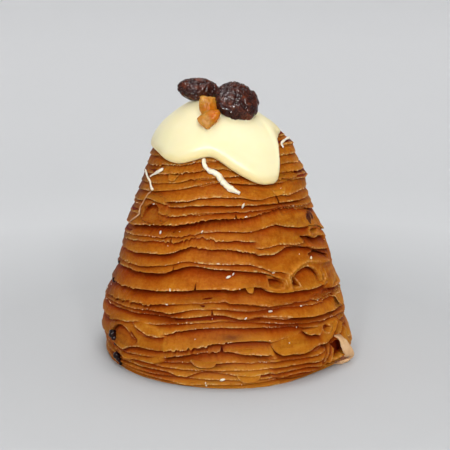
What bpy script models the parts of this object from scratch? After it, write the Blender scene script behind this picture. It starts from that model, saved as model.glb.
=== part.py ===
# Sfogliatella: an upright bell of coiled, shingled pastry under a lobed cap of cream,
# with two raisins and two dice of candied peel pressed into the top.
# Z is up, the underside lies on z = 0, and -Y is the front. Lengths are in metres.
import math

import bpy
import numpy as np
from mathutils import Euler

MM = 0.001
GAP = 0.3 * MM

# Bell of pastry: (height, radius) in millimetres from the foot to the closed top
BELL = ((0, 41.0), (2, 42.0), (6, 42.3), (14, 41.3), (24, 38.2), (34, 34.9), (44, 31.6),
        (54, 28.3), (62, 25.6), (67, 23.4), (71, 20.9), (74.5, 17.0), (77.5, 11.0), (79.5, 0))
BELL_TOP = 79.5 * MM
AXIS_LEAN = -2.6 / 85          # sideways run of the axis for each unit of height
AXIS_FOOT = 0.23 * MM          # where the axis meets the ground, from the middle of the box
CROWN_SHIFT = -1.7 * MM        # further sideways run of the axis, under the cream

# Broad swellings of the bell: (angle, height, half angle, half height, swell), degrees and mm
SWELLS = ((180, 18, 55, 6.5, 1.2), (180, 5, 45, 3.5, -0.6), (180, 43, 50, 8, 0.6),
          (180, 61, 50, 5, -0.4), (0, 13, 50, 5.5, -1.0), (0, 36, 45, 8, 0.4),
          (-4, 60.5, 34, 4, 1.5), (-8, 71, 34, 4.5, 2.5), (-18, 7, 9, 4, 1.0),
          (95, 46, 50, 9, 0.6), (60, 22, 35, 6, -0.6))

# Shingled layers, one every LAYER_PITCH up the bell
LAYER_COUNT = 27
LAYER_FIRST = 2.2 * MM         # height of the lowest free edge
LAYER_PITCH = 2.62 * MM
STEP_HEIGHT = 0.45 * MM        # how far below an edge the next layer starts
LIP_DEEP, LIP_SHALLOW = 1.15 * MM, 0.55 * MM
FRONT_LIFT = 6.0 * MM          # the layers climb this much towards the front, at mid height
SIDES = 54                     # faces round the bell and the cream

# Cream: lower edge as (angle, height), thickness, and the rounding of the rim
CREAM_EDGE = ((-168, 68.5), (-147, 67.5), (-135, 66.0), (-120, 65.4), (-109, 66.8), (-101, 67.5),
              (-95, 67.3), (-90, 66.1), (-82, 63.7), (-74, 61.5), (-66, 59.7), (-58, 59.2),
              (-51, 60.0), (-46, 62.4), (-42, 67.3), (-36, 71.2), (-22, 73.8), (0, 74.4),
              (25, 70.0), (45, 66.2), (65, 64.0), (85, 65.6), (105, 69.4), (125, 68.0),
              (145, 66.6), (165, 68.2))
CREAM_RIM = 2.3 * MM           # thickness near the edge
CREAM_CROWN = 5.0 * MM         # thickness over the top of the bell
CREAM_CROWN_RADIUS = 13.0 * MM
CREAM_ROUND = 2.2 * MM
UNDERSIDE_SLACK = 0.15 * MM     # extra air under the cream, away from its rim

# Toppings: centre, half sizes (width, depth, height), turn about X, Y, Z in degrees
RAISINS = {
    "raisin_left": ((-8.9, -3.2, 86.8), (6.6, 4.3, 3.6), (0, 8, 4)),
    "raisin_right": ((3.6, -11.4, 83.8), (6.8, 4.0, 6.0), (-28, 22, 8)),
}
PEELS = {
    "peel_upper": ((-6.2, -14.0, 82.8), (3.2, 2.7, 3.0), (-36, 6, -14)),
    "peel_lower": ((-5.7, -18.6, 78.3), (3.9, 2.5, 2.8), (-52, -8, -10)),
}


def smooth_curve(x, knots):
    """Hermite curve through (x, y) knots, with slopes from their neighbours."""
    kx, ky = np.array(knots, float).T
    slope = np.gradient(ky, kx)
    i = np.clip(np.searchsorted(kx, x) - 1, 0, len(kx) - 2)
    h = kx[i + 1] - kx[i]
    t = np.clip((x - kx[i]) / h, 0, 1)
    rise = ky[i] + (3 - 2 * t) * t * t * (ky[i + 1] - ky[i])
    return rise + h * t * (1 - t) * ((1 - t) * slope[i] - t * slope[i + 1])


def angle_between(a, b):
    """Signed difference of two angles in degrees, from -180 to 180."""
    return (a - b + 180) % 360 - 180


def bell_radius(theta, z):
    """Radius of the bell over its layer edges at angle theta (radians) and height z."""
    squared = [(h, r * r) for h, r in BELL]
    radius = np.sqrt(np.maximum(smooth_curve(z / MM, squared), 0))
    fade = np.clip((BELL_TOP - z) / (6 * MM), 0, 1)
    for angle, height, half_angle, half_height, swell in SWELLS:
        across = angle_between(np.degrees(theta), angle) / half_angle
        along = (z / MM - height) / half_height
        radius = radius + fade * swell * np.exp(-across ** 2 - along ** 2)
    return radius * MM


def axis_x(z):
    """Sideways place of the bell's axis: a steady lean, and a shift near the top."""
    share = np.clip((z / MM - 66) / 13, 0, 1)
    return AXIS_FOOT + AXIS_LEAN * z + CROWN_SHIFT * share * share * (3 - 2 * share)


def bell_point(theta, z, inset=0.0):
    """Point of the bell at angle theta and height z, moved in towards the axis by inset."""
    radius = np.maximum(bell_radius(theta, z) - inset, 0)
    return np.stack([axis_x(z) + radius * np.cos(theta), radius * np.sin(theta), z + 0 * theta], -1)


def layer_height(theta, level):
    """Height of a layer's edge: its level, lifted at the front, with a slow ripple."""
    rise = np.clip((level - 8 * MM) / (42 * MM), 0, 1)
    rise = rise * rise * (3 - 2 * rise)
    fall = np.clip((level - 66 * MM) / (13 * MM), 0, 1)
    front = -0.55 * np.sin(theta) + 0.225 * (1 - np.cos(2 * theta))
    ripple = 0.35 * MM * np.sin(3 * theta + level / MM * 0.9) * (1 - fall)
    ripple = ripple * np.clip(level / (6 * MM), 0, 1)
    return level + FRONT_LIFT * rise * (1 - fall) * front + ripple


def closed_object(name, rings, bottom, top, color, roughness):
    """Closed mesh through stacked rings, ended by a flat face (None) or by a point."""
    count, sides = rings.shape[:2]
    verts = [tuple(p) for p in rings.reshape(-1, 3)]
    faces = []
    for j in range(count - 1):
        for i in range(sides):
            k = (i + 1) % sides
            faces.append((j * sides + i, j * sides + k, (j + 1) * sides + k, (j + 1) * sides + i))
    for ring, point, flip in ((0, bottom, True), (count - 1, top, False)):
        loop = [ring * sides + i for i in range(sides)]
        if point is None:
            faces.append(tuple(reversed(loop)) if flip else tuple(loop))
            continue
        verts.append(tuple(point))
        tip = len(verts) - 1
        for i in range(sides):
            a, b = loop[i], loop[(i + 1) % sides]
            faces.append((b, a, tip) if flip else (a, b, tip))
    mesh = bpy.data.meshes.new(name)
    mesh.from_pydata(verts, [], faces)
    mesh.update()
    mesh.shade_smooth()
    mesh.set_sharp_from_angle(angle=math.radians(40))
    obj = bpy.data.objects.new(name, mesh)
    bpy.context.scene.collection.objects.link(obj)
    material = bpy.data.materials.new(name + "_finish")
    material.use_nodes = True
    shader = material.node_tree.nodes["Principled BSDF"]
    shader.inputs["Base Color"].default_value = (*color, 1)
    shader.inputs["Roughness"].default_value = roughness
    shader.inputs["Metallic"].default_value = 0
    mesh.materials.append(material)
    return obj


def make_pastry():
    """Bell whose layers flare to a free edge and step back in under it."""
    theta = np.linspace(-math.pi, math.pi, SIDES, endpoint=False)
    rings = [bell_point(theta, 0 * theta)]
    for k in range(LAYER_COUNT):
        level = LAYER_FIRST + k * LAYER_PITCH
        edge = layer_height(theta, level)
        share = 0.5 + 0.5 * np.sin(2.4 * k + 1.7 * np.cos(theta + 0.8 * k))
        lip = LIP_SHALLOW + (LIP_DEEP - LIP_SHALLOW) * share
        rings.append(bell_point(theta, edge - STEP_HEIGHT, lip))
        rings.append(bell_point(theta, edge))
    highest = layer_height(theta, LAYER_FIRST + (LAYER_COUNT - 1) * LAYER_PITCH)
    for share in (0.4, 0.7, 0.9, 0.98):
        rings.append(bell_point(theta, highest + (BELL_TOP - highest) * share))
    top = bell_point(np.zeros(1), np.full(1, BELL_TOP))[0]
    closed_object("pastry_body", np.array(rings), None, top, (0.36, 0.13, 0.025), 0.55)


def cream_surface(theta, t, height_off):
    """Point over the bell, t from 0 at the top to 1 at the cream's edge, raised by height_off."""
    knots = [(a - 360, h) for a, h in CREAM_EDGE] + list(CREAM_EDGE)
    knots += [(a + 360, h) for a, h in CREAM_EDGE]
    edge = smooth_curve(np.degrees(theta), knots) * MM
    step = 1e-3
    low, high = np.clip(t - step, 0, 1), np.clip(t + step, 0, 1)
    here, before, after = (bell_point(theta, BELL_TOP - (BELL_TOP - edge) * s * s) for s in (t, low, high))
    run = after - before
    out = run[..., 0] * np.cos(theta) + run[..., 1] * np.sin(theta)
    length = np.hypot(out, run[..., 2])
    normal_out, normal_up = -run[..., 2] / length, out / length
    off = height_off
    if callable(height_off):
        off = height_off(theta, t, np.hypot(here[..., 0] - axis_x(here[..., 2]), here[..., 1]),
                         BELL_TOP - edge)
    shift = np.stack([normal_out * np.cos(theta), normal_out * np.sin(theta), normal_up], -1)
    return here + shift * (off + 0 * t)[..., None]


def cream_thickness(theta, t, radius, drop):
    """Rounded rim, a slack body and a deeper crown; thinner where the edge is high on the left."""
    from_edge = (1 - t) * drop * 1.25
    rim = np.sqrt(np.clip(1 - (1 - np.clip(from_edge / CREAM_ROUND, 0, 1)) ** 2, 0, 1))
    left = np.exp(-(angle_between(np.degrees(theta), 185) / 34) ** 2)
    body = CREAM_RIM * (1 - 0.6 * left)
    crown = np.exp(-(radius / CREAM_CROWN_RADIUS) ** 2)
    return GAP + rim * (body + (CREAM_CROWN - body) * crown)


def make_cream():
    """Shell of cream that rests on the bell's top, with a lobed, rounded lower edge."""
    theta = np.linspace(-math.pi, math.pi, SIDES, endpoint=False)
    inner_share = (0.1, 0.25, 0.4, 0.54, 0.66, 0.77, 0.87, 0.95)
    inner = [cream_surface(theta, t + 0 * theta, GAP + UNDERSIDE_SLACK) for t in inner_share]
    outer_share = (1.0, 0.985, 0.955, 0.91, 0.84, 0.74, 0.6, 0.45, 0.3, 0.17, 0.07)
    outer = [cream_surface(theta, t + 0 * theta, cream_thickness) for t in outer_share]
    zero = np.zeros(1)
    under = bell_point(zero, np.full(1, BELL_TOP))[0] + (0, 0, GAP)
    top = bell_point(zero, np.full(1, BELL_TOP))[0] + (0, 0, GAP + CREAM_CROWN)
    closed_object("cream_cap", np.array(inner + outer), under, top, (0.98, 0.90, 0.62), 0.4)


def turned(points, degrees):
    """Points turned about X, then Y, then Z."""
    turn = Euler([math.radians(d) for d in degrees], "XYZ").to_matrix()
    return points @ np.array(turn).T


def seat_on_cream(points, clearance):
    """Points that reach into the cream, moved out along its surface's slope to lie clear of it."""
    theta = np.arctan2(points[:, 1], points[:, 0] - axis_x(points[:, 2]))
    t = np.linspace(0.0, 0.97, 260)
    angle, share = np.meshgrid(theta, t, indexing="ij")
    skin = cream_surface(angle, share, cream_thickness)
    skin[:, 0] = bell_point(np.zeros(1), np.full(1, BELL_TOP))[0] + (0, 0, GAP + CREAM_CROWN)
    away = points[:, None] - skin
    near = np.argmin((away ** 2).sum(-1), axis=1)
    rows = np.arange(len(points))
    foot = skin[rows, near]
    along = skin[rows, np.minimum(near + 1, len(t) - 1)] - skin[rows, np.maximum(near - 1, 0)]
    side = np.stack([-np.sin(theta), np.cos(theta), 0 * theta], -1)
    normal = np.cross(along, side)
    normal *= np.sign(normal[:, 2:3]) / np.linalg.norm(normal, axis=1, keepdims=True)
    height = ((points - foot) * normal).sum(-1)
    lift = np.maximum(clearance - height, 0)
    return points + normal * lift[:, None]


def make_lump(name, centre, half, turn, sides, levels, squareness, wrinkle, color, roughness):
    """Rounded lump: an ellipsoid, squared by squareness and creased by wrinkle, seated on the cream."""
    lon = np.linspace(-math.pi, math.pi, sides, endpoint=False)
    lat = np.linspace(-math.pi / 2, math.pi / 2, levels + 2)[1:-1]
    lat, lon = np.meshgrid(lat, lon, indexing="ij")

    def bent(value):
        return np.sign(value) * np.abs(value) ** squareness

    swell = 1 + wrinkle * (np.sin(5 * lon + 2 * lat) + 0.6 * np.sin(7 * lat - 3 * lon) * np.cos(lat))
    unit = np.stack([bent(np.cos(lon)) * bent(np.cos(lat)), bent(np.sin(lat)),
                     bent(np.sin(lon)) * bent(np.cos(lat))], -1) * swell[..., None]
    ends = np.array([[0, -1, 0], [0, 1, 0]], float)
    points = np.concatenate([unit.reshape(-1, 3), ends]) * np.array(half) * MM
    points = seat_on_cream(turned(points, turn) + np.array(centre) * MM, GAP + 0.15 * MM)
    rings = points[:-2].reshape(levels, sides, 3)[:, ::-1]
    closed_object(name, rings, points[-2], points[-1], color, roughness)


def make_toppings():
    for name, (centre, half, turn) in RAISINS.items():
        make_lump(name, centre, half, turn, 18, 10, 0.92, 0.035, (0.055, 0.016, 0.008), 0.35)
    for name, (centre, half, turn) in PEELS.items():
        make_lump(name, centre, half, turn, 16, 8, 0.62, 0.02, (0.62, 0.22, 0.02), 0.25)


for old in list(bpy.data.objects):
    bpy.data.objects.remove(old)
make_pastry()
make_cream()
make_toppings()
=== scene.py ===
# Sfogliatella: a tall bell of thin coiled dough under a coat of cream, with raisins and candied peel.
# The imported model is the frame; every surface here is worked out with numpy in the same place.
import itertools
import math

import bpy
import numpy as np
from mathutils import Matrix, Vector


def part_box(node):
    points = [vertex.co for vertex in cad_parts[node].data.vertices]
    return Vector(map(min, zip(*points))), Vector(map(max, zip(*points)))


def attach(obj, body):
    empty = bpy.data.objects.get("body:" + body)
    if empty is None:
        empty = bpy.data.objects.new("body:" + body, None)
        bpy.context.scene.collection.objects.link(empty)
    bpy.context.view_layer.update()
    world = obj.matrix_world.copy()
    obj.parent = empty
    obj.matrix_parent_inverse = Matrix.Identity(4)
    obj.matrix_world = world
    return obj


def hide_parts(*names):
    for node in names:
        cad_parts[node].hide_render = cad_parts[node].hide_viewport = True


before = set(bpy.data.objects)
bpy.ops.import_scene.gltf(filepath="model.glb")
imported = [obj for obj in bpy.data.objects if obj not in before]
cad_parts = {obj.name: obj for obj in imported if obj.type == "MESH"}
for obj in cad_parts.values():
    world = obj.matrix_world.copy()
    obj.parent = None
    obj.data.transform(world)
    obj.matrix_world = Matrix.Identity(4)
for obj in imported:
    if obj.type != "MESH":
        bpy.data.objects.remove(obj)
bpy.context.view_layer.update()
bodyLow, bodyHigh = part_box("pastry_body")
bellHeight = 79.5                                   # the bell's closed top, in millimetres
mm = (bodyHigh.z - bodyLow.z) / bellHeight          # a millimetre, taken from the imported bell
tau = 2 * math.pi
print("frame loaded:", sorted(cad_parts))


def smoothStep(x, low=0.0, high=1.0):
    # 3x^2 - 2x^3 between low and high, flat outside
    x = np.clip((x - low) / (high - low), 0, 1)
    return x * x * (3 - 2 * x)


def smoothCurve(x, knots):
    # Hermite curve through (x, y) knots; each slope comes from the neighbouring knots
    kx, ky = np.array(knots, float).T
    slope = np.gradient(ky, kx)
    i = np.clip(np.searchsorted(kx, x) - 1, 0, len(kx) - 2)
    h = kx[i + 1] - kx[i]
    t = np.clip((x - kx[i]) / h, 0, 1)
    rise = ky[i] + (3 - 2 * t) * t * t * (ky[i + 1] - ky[i])
    return rise + h * t * (1 - t) * ((1 - t) * slope[i] - t * slope[i + 1])


def angleFrom(a, b):
    # signed angle a - b in degrees, -180 to 180
    return (a - b + 180) % 360 - 180


def bump(x, width):
    # exp(-(x / width)^2)
    return np.exp(-(x / width) ** 2)


def patchSum(angle, z, rows):
    # sum of amount * exp(-(angle / half angle)^2 - (height / half height)^2) over rows of
    # (angle, height, half angle, half height, amount)
    return sum(amount * bump(angleFrom(angle, middle), halfAngle) * bump(z - height, halfHeight)
               for middle, height, halfAngle, halfHeight, amount in rows)


latticeSize = 24                                    # the noise repeats after so many cells


def softNoise(points, size, seed):
    # value noise, -1 to 1: random numbers on a lattice of the given size (mm), blended by 3f^2 - 2f^3
    lattice = np.random.default_rng(seed).uniform(-1, 1, (latticeSize,) * 3)
    q = points / np.asarray(size, float) + 40.5
    cell = np.floor(q).astype(int)
    f = q - cell
    f = f * f * (3 - 2 * f)
    total = np.zeros(points.shape[:-1])
    for corner in itertools.product((0, 1), repeat=3):
        share = np.prod(np.where(corner, f, 1 - f), axis=-1)
        spot = (cell + corner) % latticeSize
        total += share * lattice[spot[..., 0], spot[..., 1], spot[..., 2]]
    return total


def noiseVector(points, size, seed):
    # three noises with following seeds, as one shift along x, y and z
    return np.stack([softNoise(points, size, seed + i) for i in range(3)], -1)


bell = dict(
    # (height, radius) in mm from the foot to the closed top, over the edges of the layers
    outline=((0, 41.0), (2, 42.0), (6, 42.3), (14, 41.3), (24, 38.2), (34, 34.9), (44, 31.6),
             (54, 28.3), (62, 25.6), (67, 23.4), (71, 20.9), (74.5, 17.0), (77.5, 11.0), (79.5, 0)),
    foot=0.23, lean=-2.6 / 85, crownShift=-1.7,      # the axis: its foot, its lean, its shift at the top
    # broad swellings: angle, height, half angle, half height, swell
    swells=((180, 18, 55, 6.5, 1.2), (180, 5, 45, 3.5, -0.6), (180, 43, 50, 8, 0.6),
            (180, 61, 50, 5, -0.4), (0, 13, 50, 5.5, -1.0), (0, 36, 45, 8, 0.4),
            (-4, 60.5, 34, 4, 1.5), (-8, 71, 34, 4.5, 2.5), (-18, 7, 9, 4, 1.0),
            (95, 46, 50, 9, 0.6), (60, 22, 35, 6, -0.6), (-42, 0, 17, 3.5, -1.6)),
)


def bellRadius(angle, z):
    # radius over the layer edges at an angle (degrees) and height (mm): the outline plus its swellings
    squared = [(h, r * r) for h, r in bell["outline"]]
    radius = np.sqrt(np.maximum(smoothCurve(z, squared), 0))
    return radius + np.clip((bellHeight - z) / 6, 0, 1) * patchSum(angle, z, bell["swells"])


def unit(vectors):
    # each vector over its length
    return vectors / np.maximum(np.linalg.norm(vectors, axis=-1, keepdims=True), 1e-9)


def axisX(z):
    # the axis leans by a share of the height, and its top is shifted over the last 13 mm
    return bell["foot"] + bell["lean"] * z + bell["crownShift"] * smoothStep(z, 66, 79)


def around(angle, radius, z):
    # point at an angle (degrees), radius and height round the leaning axis, in mm
    a = np.radians(angle)
    return np.stack([axisX(z) + radius * np.cos(a), radius * np.sin(a), z + 0 * a], -1)


def onBell(angle, z, out=0.0):
    # point on the bell's outline at an angle and height, moved out by some millimetres
    return around(angle, bellRadius(angle, z) + out, z)


def addMesh(name, points, faces, sharp=50, attributes=None):
    # one mesh from points in mm and quads; a quad with a repeated last corner is a triangle
    points = np.asarray(points, float).reshape(-1, 3)
    faces = np.asarray(faces, int)
    a, b, c, d = (points[faces[:, i]] for i in range(4))
    volume = (np.cross(b - a, c - a) * a).sum() + (np.cross(c - a, d - a) * a).sum()
    if volume < 0:
        faces = faces[:, ::-1]                      # faces look outwards
    faces = np.where((faces[:, 0] == faces[:, 1])[:, None], np.roll(faces, -1, axis=1), faces)
    triangle = (faces[:, 2] == faces[:, 3]) | (faces[:, 0] == faces[:, 3])
    keep = np.ones_like(faces, bool)
    keep[triangle, 3] = False
    count = keep.sum(1)
    mesh = bpy.data.meshes.new(name)
    mesh.vertices.add(len(points))
    mesh.vertices.foreach_set("co", (points * mm).ravel())
    mesh.loops.add(int(count.sum()))
    mesh.loops.foreach_set("vertex_index", faces[keep])
    mesh.polygons.add(len(faces))
    mesh.polygons.foreach_set("loop_start", np.concatenate([[0], np.cumsum(count)[:-1]]))
    mesh.update(calc_edges=True)
    mesh.validate()
    mesh.shade_smooth()
    if sharp:
        mesh.set_sharp_from_angle(angle=math.radians(sharp))
    for key, values in (attributes or {}).items():
        layer = mesh.attributes.new(key, "FLOAT", "POINT")
        layer.data.foreach_set("value", np.asarray(values, float).ravel())
    piece = bpy.data.objects.new(name, mesh)
    bpy.context.scene.collection.objects.link(piece)
    return piece


def wallFaces(steps, sides):
    # quads between successive closed rings of points
    i = np.arange(steps - 1)[:, None] * sides
    j = np.arange(sides)[None]
    k = (j + 1) % sides
    return np.stack([i + j, i + k, i + sides + k, i + sides + j], -1).reshape(-1, 4)


def tubeFaces(steps, sides):
    # a wall and its two end caps, for rings of an even number of points
    h = np.arange(sides // 2 - 1)
    cap = np.stack([h, sides - 1 - h, sides - 2 - h, h + 1], -1)
    return np.concatenate([wallFaces(steps, sides), cap, cap[:, ::-1] + (steps - 1) * sides])


def domeFaces(steps, sides):
    # a wall closed by two single points, which follow the rings
    j = np.arange(sides)
    k = (j + 1) % sides
    last, total = (steps - 1) * sides, steps * sides
    low = np.stack([k, j, 0 * j + total, 0 * j + total], -1)
    high = np.stack([last + j, last + k, 0 * j + total + 1, 0 * j + total + 1], -1)
    return np.concatenate([wallFaces(steps, sides), low, high])


def ballGrid(sides, levels):
    # unit directions of a globe's grid, its two poles last, and its faces
    lon = np.linspace(0, tau, sides, endpoint=False)
    lat = np.linspace(-math.pi / 2, math.pi / 2, levels + 2)[1:-1]
    lat, lon = np.meshgrid(lat, lon, indexing="ij")
    ring = np.stack([np.cos(lon) * np.cos(lat), np.sin(lon) * np.cos(lat), np.sin(lat)], -1)
    points = np.concatenate([ring.reshape(-1, 3), [[0, 0, -1], [0, 0, 1]]])
    return points, domeFaces(levels, sides)


def joined(parts):
    # several (points, faces) as one: each part's faces count on from the points before it
    firsts = np.cumsum([0] + [len(points) for points, _ in parts])
    faces = [quads + first for (_, quads), first in zip(parts, firsts)]
    return np.concatenate([points for points, _ in parts]), np.concatenate(faces)


def alongKnots(knots, steps):
    # smooth curves through rows of knots, one for each column, with so many places to a knot
    knots = np.array(knots, float)
    index = np.arange(len(knots))
    at = np.linspace(0, len(knots) - 1, steps * len(knots))
    return [smoothCurve(at, np.stack([index, column], 1)) for column in knots.T]


def sheetSolid(grid, thickness):
    # a closed sheet round a grid of points: each point moved out and in along the grid's normal
    normal = unit(np.cross(np.gradient(grid, axis=0), np.gradient(grid, axis=1)))
    half = (thickness / 2 + np.zeros(grid.shape[:2]))[..., None]
    rings = np.concatenate([grid + normal * half, (grid - normal * half)[:, ::-1]], 1)
    return rings, tubeFaces(*rings.shape[:2])


def bothSides(**values):
    # values given on a sheet's grid, for the rings of its two sides
    return {key: np.concatenate([value, value[:, ::-1]], 1) for key, value in values.items()}


def extended(values, tail):
    # each row of values followed by the same few numbers
    return np.concatenate([values, np.tile(tail, (len(values), 1))], 1)


layers = dict(
    steps=880,                                       # sections in one turn of the coil
    # from the ground up: height of the free edge at the front, depth of the hollow under it,
    # and how much lower it lies at the left and at the right
    rows=((0.15, 0.4, 0.0, 0.0), (1.9, 0.9, 0.6, 0.5), (3.4, 1.0, 0.8, 0.8), (5.0, 1.2, 1.2, 1.2),
          (6.6, 1.0, 1.8, 2.5), (8.8, 1.2, 2.6, 3.5), (11.8, 1.6, 4.5, 4.5), (14.8, 1.7, 6.0, 3.0),
          (18.6, 1.8, 4.5, 5.5), (20.4, 1.5, 5.0, 5.5), (22.6, 2.1, 4.0, 6.0), (24.4, 1.4, 5.0, 3.5),
          (26.4, 1.3, 5.5, 4.5), (29.9, 2.9, 4.5, 6.5), (35.3, 2.6, 5.0, 5.0), (36.9, 0.9, 4.7, 5.0),
          (41.0, 1.9, 5.0, 2.0), (43.2, 1.0, 4.5, 2.6), (46.4, 0.7, 5.5, 4.0), (49.8, 2.1, 6.0, 1.5),
          (51.8, 0.8, 4.0, 1.0), (53.8, 1.2, 3.0, 0.8), (56.1, 1.1, 4.0, 0.6), (60.1, 1.2, 5.0, 1.0),
          (62.0, 0.8, 4.5, 2.0), (64.2, 0.9, 4.0, 2.5), (66.6, 0.9, 3.5, 2.5), (69.0, 0.9, 3.0, 2.0),
          (71.4, 0.9, 2.0, 1.5), (73.8, 0.9, 1.0, 1.0), (76.2, 0.8, 0.0, 0.0)),
    turnRise=2.4, leastRise=0.42,                    # from one edge to the next, usually and at least, in mm
    tuck=1.3, thickness=0.30,                        # how far a face goes on behind the edge above it
    # waves of an edge: strength, size in mm; its rare steps; its teeth, everywhere and in patches
    waves=((0.26, (12, 12, 3)), (0.19, (5, 5, 1.6)), (0.10, (2, 2, 1))), step=0.16, teeth=(0.06, 0.27),
    # where the edges are squeezed: angle, height, half angle, half height, share of the rise in mm
    squeezes=((-36, 37, 22, 9, 1.0), (-36, 60, 22, 6, 0.8), (-26, 12, 12, 9, 0.7)), squeezeRise=0.7,
    # where the faces are creased: angle, height, half angle, half height, depth
    creases=((-27, 11, 13, 10, 0.6),),
    # local bends of an edge: layer, angle, half width, rise
    bends=((19, -135, 16, 0.7), (19, -44, 26, 3.0), (18, -58, 12, 2.6), (18, -38, 14, 1.2),
           (17, -104, 8, 1.2), (17, -130, 26, 1.3), (16, -108, 9, 1.5), (16, -66, 9, -1.5),
           (16, -47, 10, 1.7), (16, -12, 14, -2.0), (15, -111, 10, 1.3), (15, -54, 8, -1.2),
           (14, -109, 11, 1.7), (13, -73, 8, 1.3), (13, -36, 10, 0.6), (12, -70, 16, -0.9),
           (11, -116, 8, -0.9), (11, -78, 12, -0.8), (10, -110, 12, -0.7), (10, -82, 8, -1.3),
           (8, -120, 9, -1.4), (8, -60, 14, 1.0), (7, -114, 18, -1.9), (7, -53, 9, 2.0),
           (6, -120, 14, -1.6), (6, -73, 8, -1.1), (5, -130, 14, -1.0), (3, -109, 5, -1.3),
           (3, -98, 8, 0.9), (3, -80, 8, -0.6), (1, -107, 6, -1.0), (1, -70, 10, 0.6), (23, -92, 12, 0.5),
           (21, -100, 10, 0.4), (22, -68, 8, -0.6), (20, -48, 16, 0.8), (24, -70, 10, 0.6)),
    # stretches where an edge stands out: layer, angle, half width, how far
    curls=((23, -8, 22, 0.9), (16, -6, 18, 0.5), (13, -10, 16, 0.5), (9, -14, 14, 0.5), (7, 172, 16, 0.7),
           (8, 178, 12, 0.6), (14, 174, 16, 0.4), (13, -84, 30, 0.5), (9, -95, 30, 0.35),
           (19, -100, 40, 0.3), (16, -80, 26, 0.35), (5, -60, 20, 0.5), (4, -150, 26, 0.5),
           (6, -155, 22, 0.4), (2, -140, 24, 0.5), (4, -100, 24, 0.5), (1, -90, 40, 0.5), (2, -70, 20, 0.6),
           (13, 60, 30, 0.7), (17, 110, 24, 0.6), (8, 80, 30, 0.6), (21, 60, 24, 0.5), (5, 130, 26, 0.6)),
    # short upright cracks: layer, angle, how high, how wide in degrees
    cracks=((17, -121, 1.2, 0.35), (14, -117, 0.8, 0.3), (13, -104, 1.6, 0.28), (19, -82, 0.9, 0.3),
            (21, -52, 1.8, 0.5), (6, -92, 1.5, 0.4), (14, -66, 1.2, 0.3), (10, -96, 1.0, 0.3),
            (8, -56, 1.0, 0.3), (15, 20, 2.0, 0.4), (12, 75, 1.8, 0.4), (18, 100, 2.0, 0.4),
            (6, 60, 1.6, 0.4), (20, 150, 1.5, 0.4), (9, 120, 1.6, 0.4)),
    # places where the faces sink into pockets: angle, height, half angle, half height, depth
    pockets=((-81, 13.3, 10, 1.4, 1.5), (-30, 22.5, 6, 1.4, 1.5), (-19, 19.5, 6, 1.5, 1.0),
             (40, 34, 14, 1.8, 0.8), (70, 22, 12, 1.4, 1.6), (118, 40, 10, 1.5, 1.6),
             (150, 30, 9, 1.4, 1.4), (100, 57, 9, 1.3, 1.2)),
)


def coilValue(turn, column, low, high):
    # a value that belongs to each turn of the coil, passing to the next one behind the bell
    values = np.array([row[column] for row in layers["rows"]])
    values = np.append(values, [values[-1] + (layers["turnRise"] if column == 0 else 0)] * 2)
    k = np.clip(np.floor(turn).astype(int), 0, len(values) - 2)
    return values[k] + (values[k + 1] - values[k]) * smoothStep(turn - k, low, high)


def sideDrop(turn):
    # how much lower than at the front an edge lies: its right drop, behind the bell passing to the left
    # drop of the next turn; each grows steadily round the side
    degrees = 360 * (turn - np.floor(turn))
    growth = ((0, 0), (10, 0.08), (30, 0.45), (50, 0.72), (72, 0.92), (90, 1))
    right = coilValue(turn, 3, 0.4, 0.6) * smoothCurve(np.minimum(degrees, 90), growth)
    left = coilValue(turn, 2, 0.4, 0.6) * smoothCurve(np.minimum(360 - degrees, 90), growth)
    return right + (left - right) * smoothStep(degrees, 120, 240)


def tornEdge(here, seed):
    # how an edge wanders: waves of three lengths, rare steps and short teeth in patches
    wave = sum(strength * softNoise(here, size, seed + i)
               for i, (strength, size) in enumerate(layers["waves"]))
    step = smoothStep(softNoise(here, (7, 7, 1.5), seed + 3), 0.40, 0.55)
    everywhere, patches = layers["teeth"]
    fringe = everywhere + patches * smoothStep(softNoise(here, (12, 12, 3), seed + 4), 0.0, 0.6)
    teeth = softNoise(here, (0.75, 0.75, 0.9), seed + 5) + 0.8 * softNoise(here, (0.4, 0.4, 0.5), seed + 6)
    return wave + layers["step"] * step + fringe * teeth


def edgeSum(turn, angle, rows):
    # sum of amount * exp(-(angle / half width)^2) over rows of (layer, angle, half width, amount), each on
    # its own layer alone
    return sum(amount * bump(angleFrom(angle, middle), half) * (np.abs(turn - layer) < 0.5)
               for layer, middle, half, amount in rows)


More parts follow.
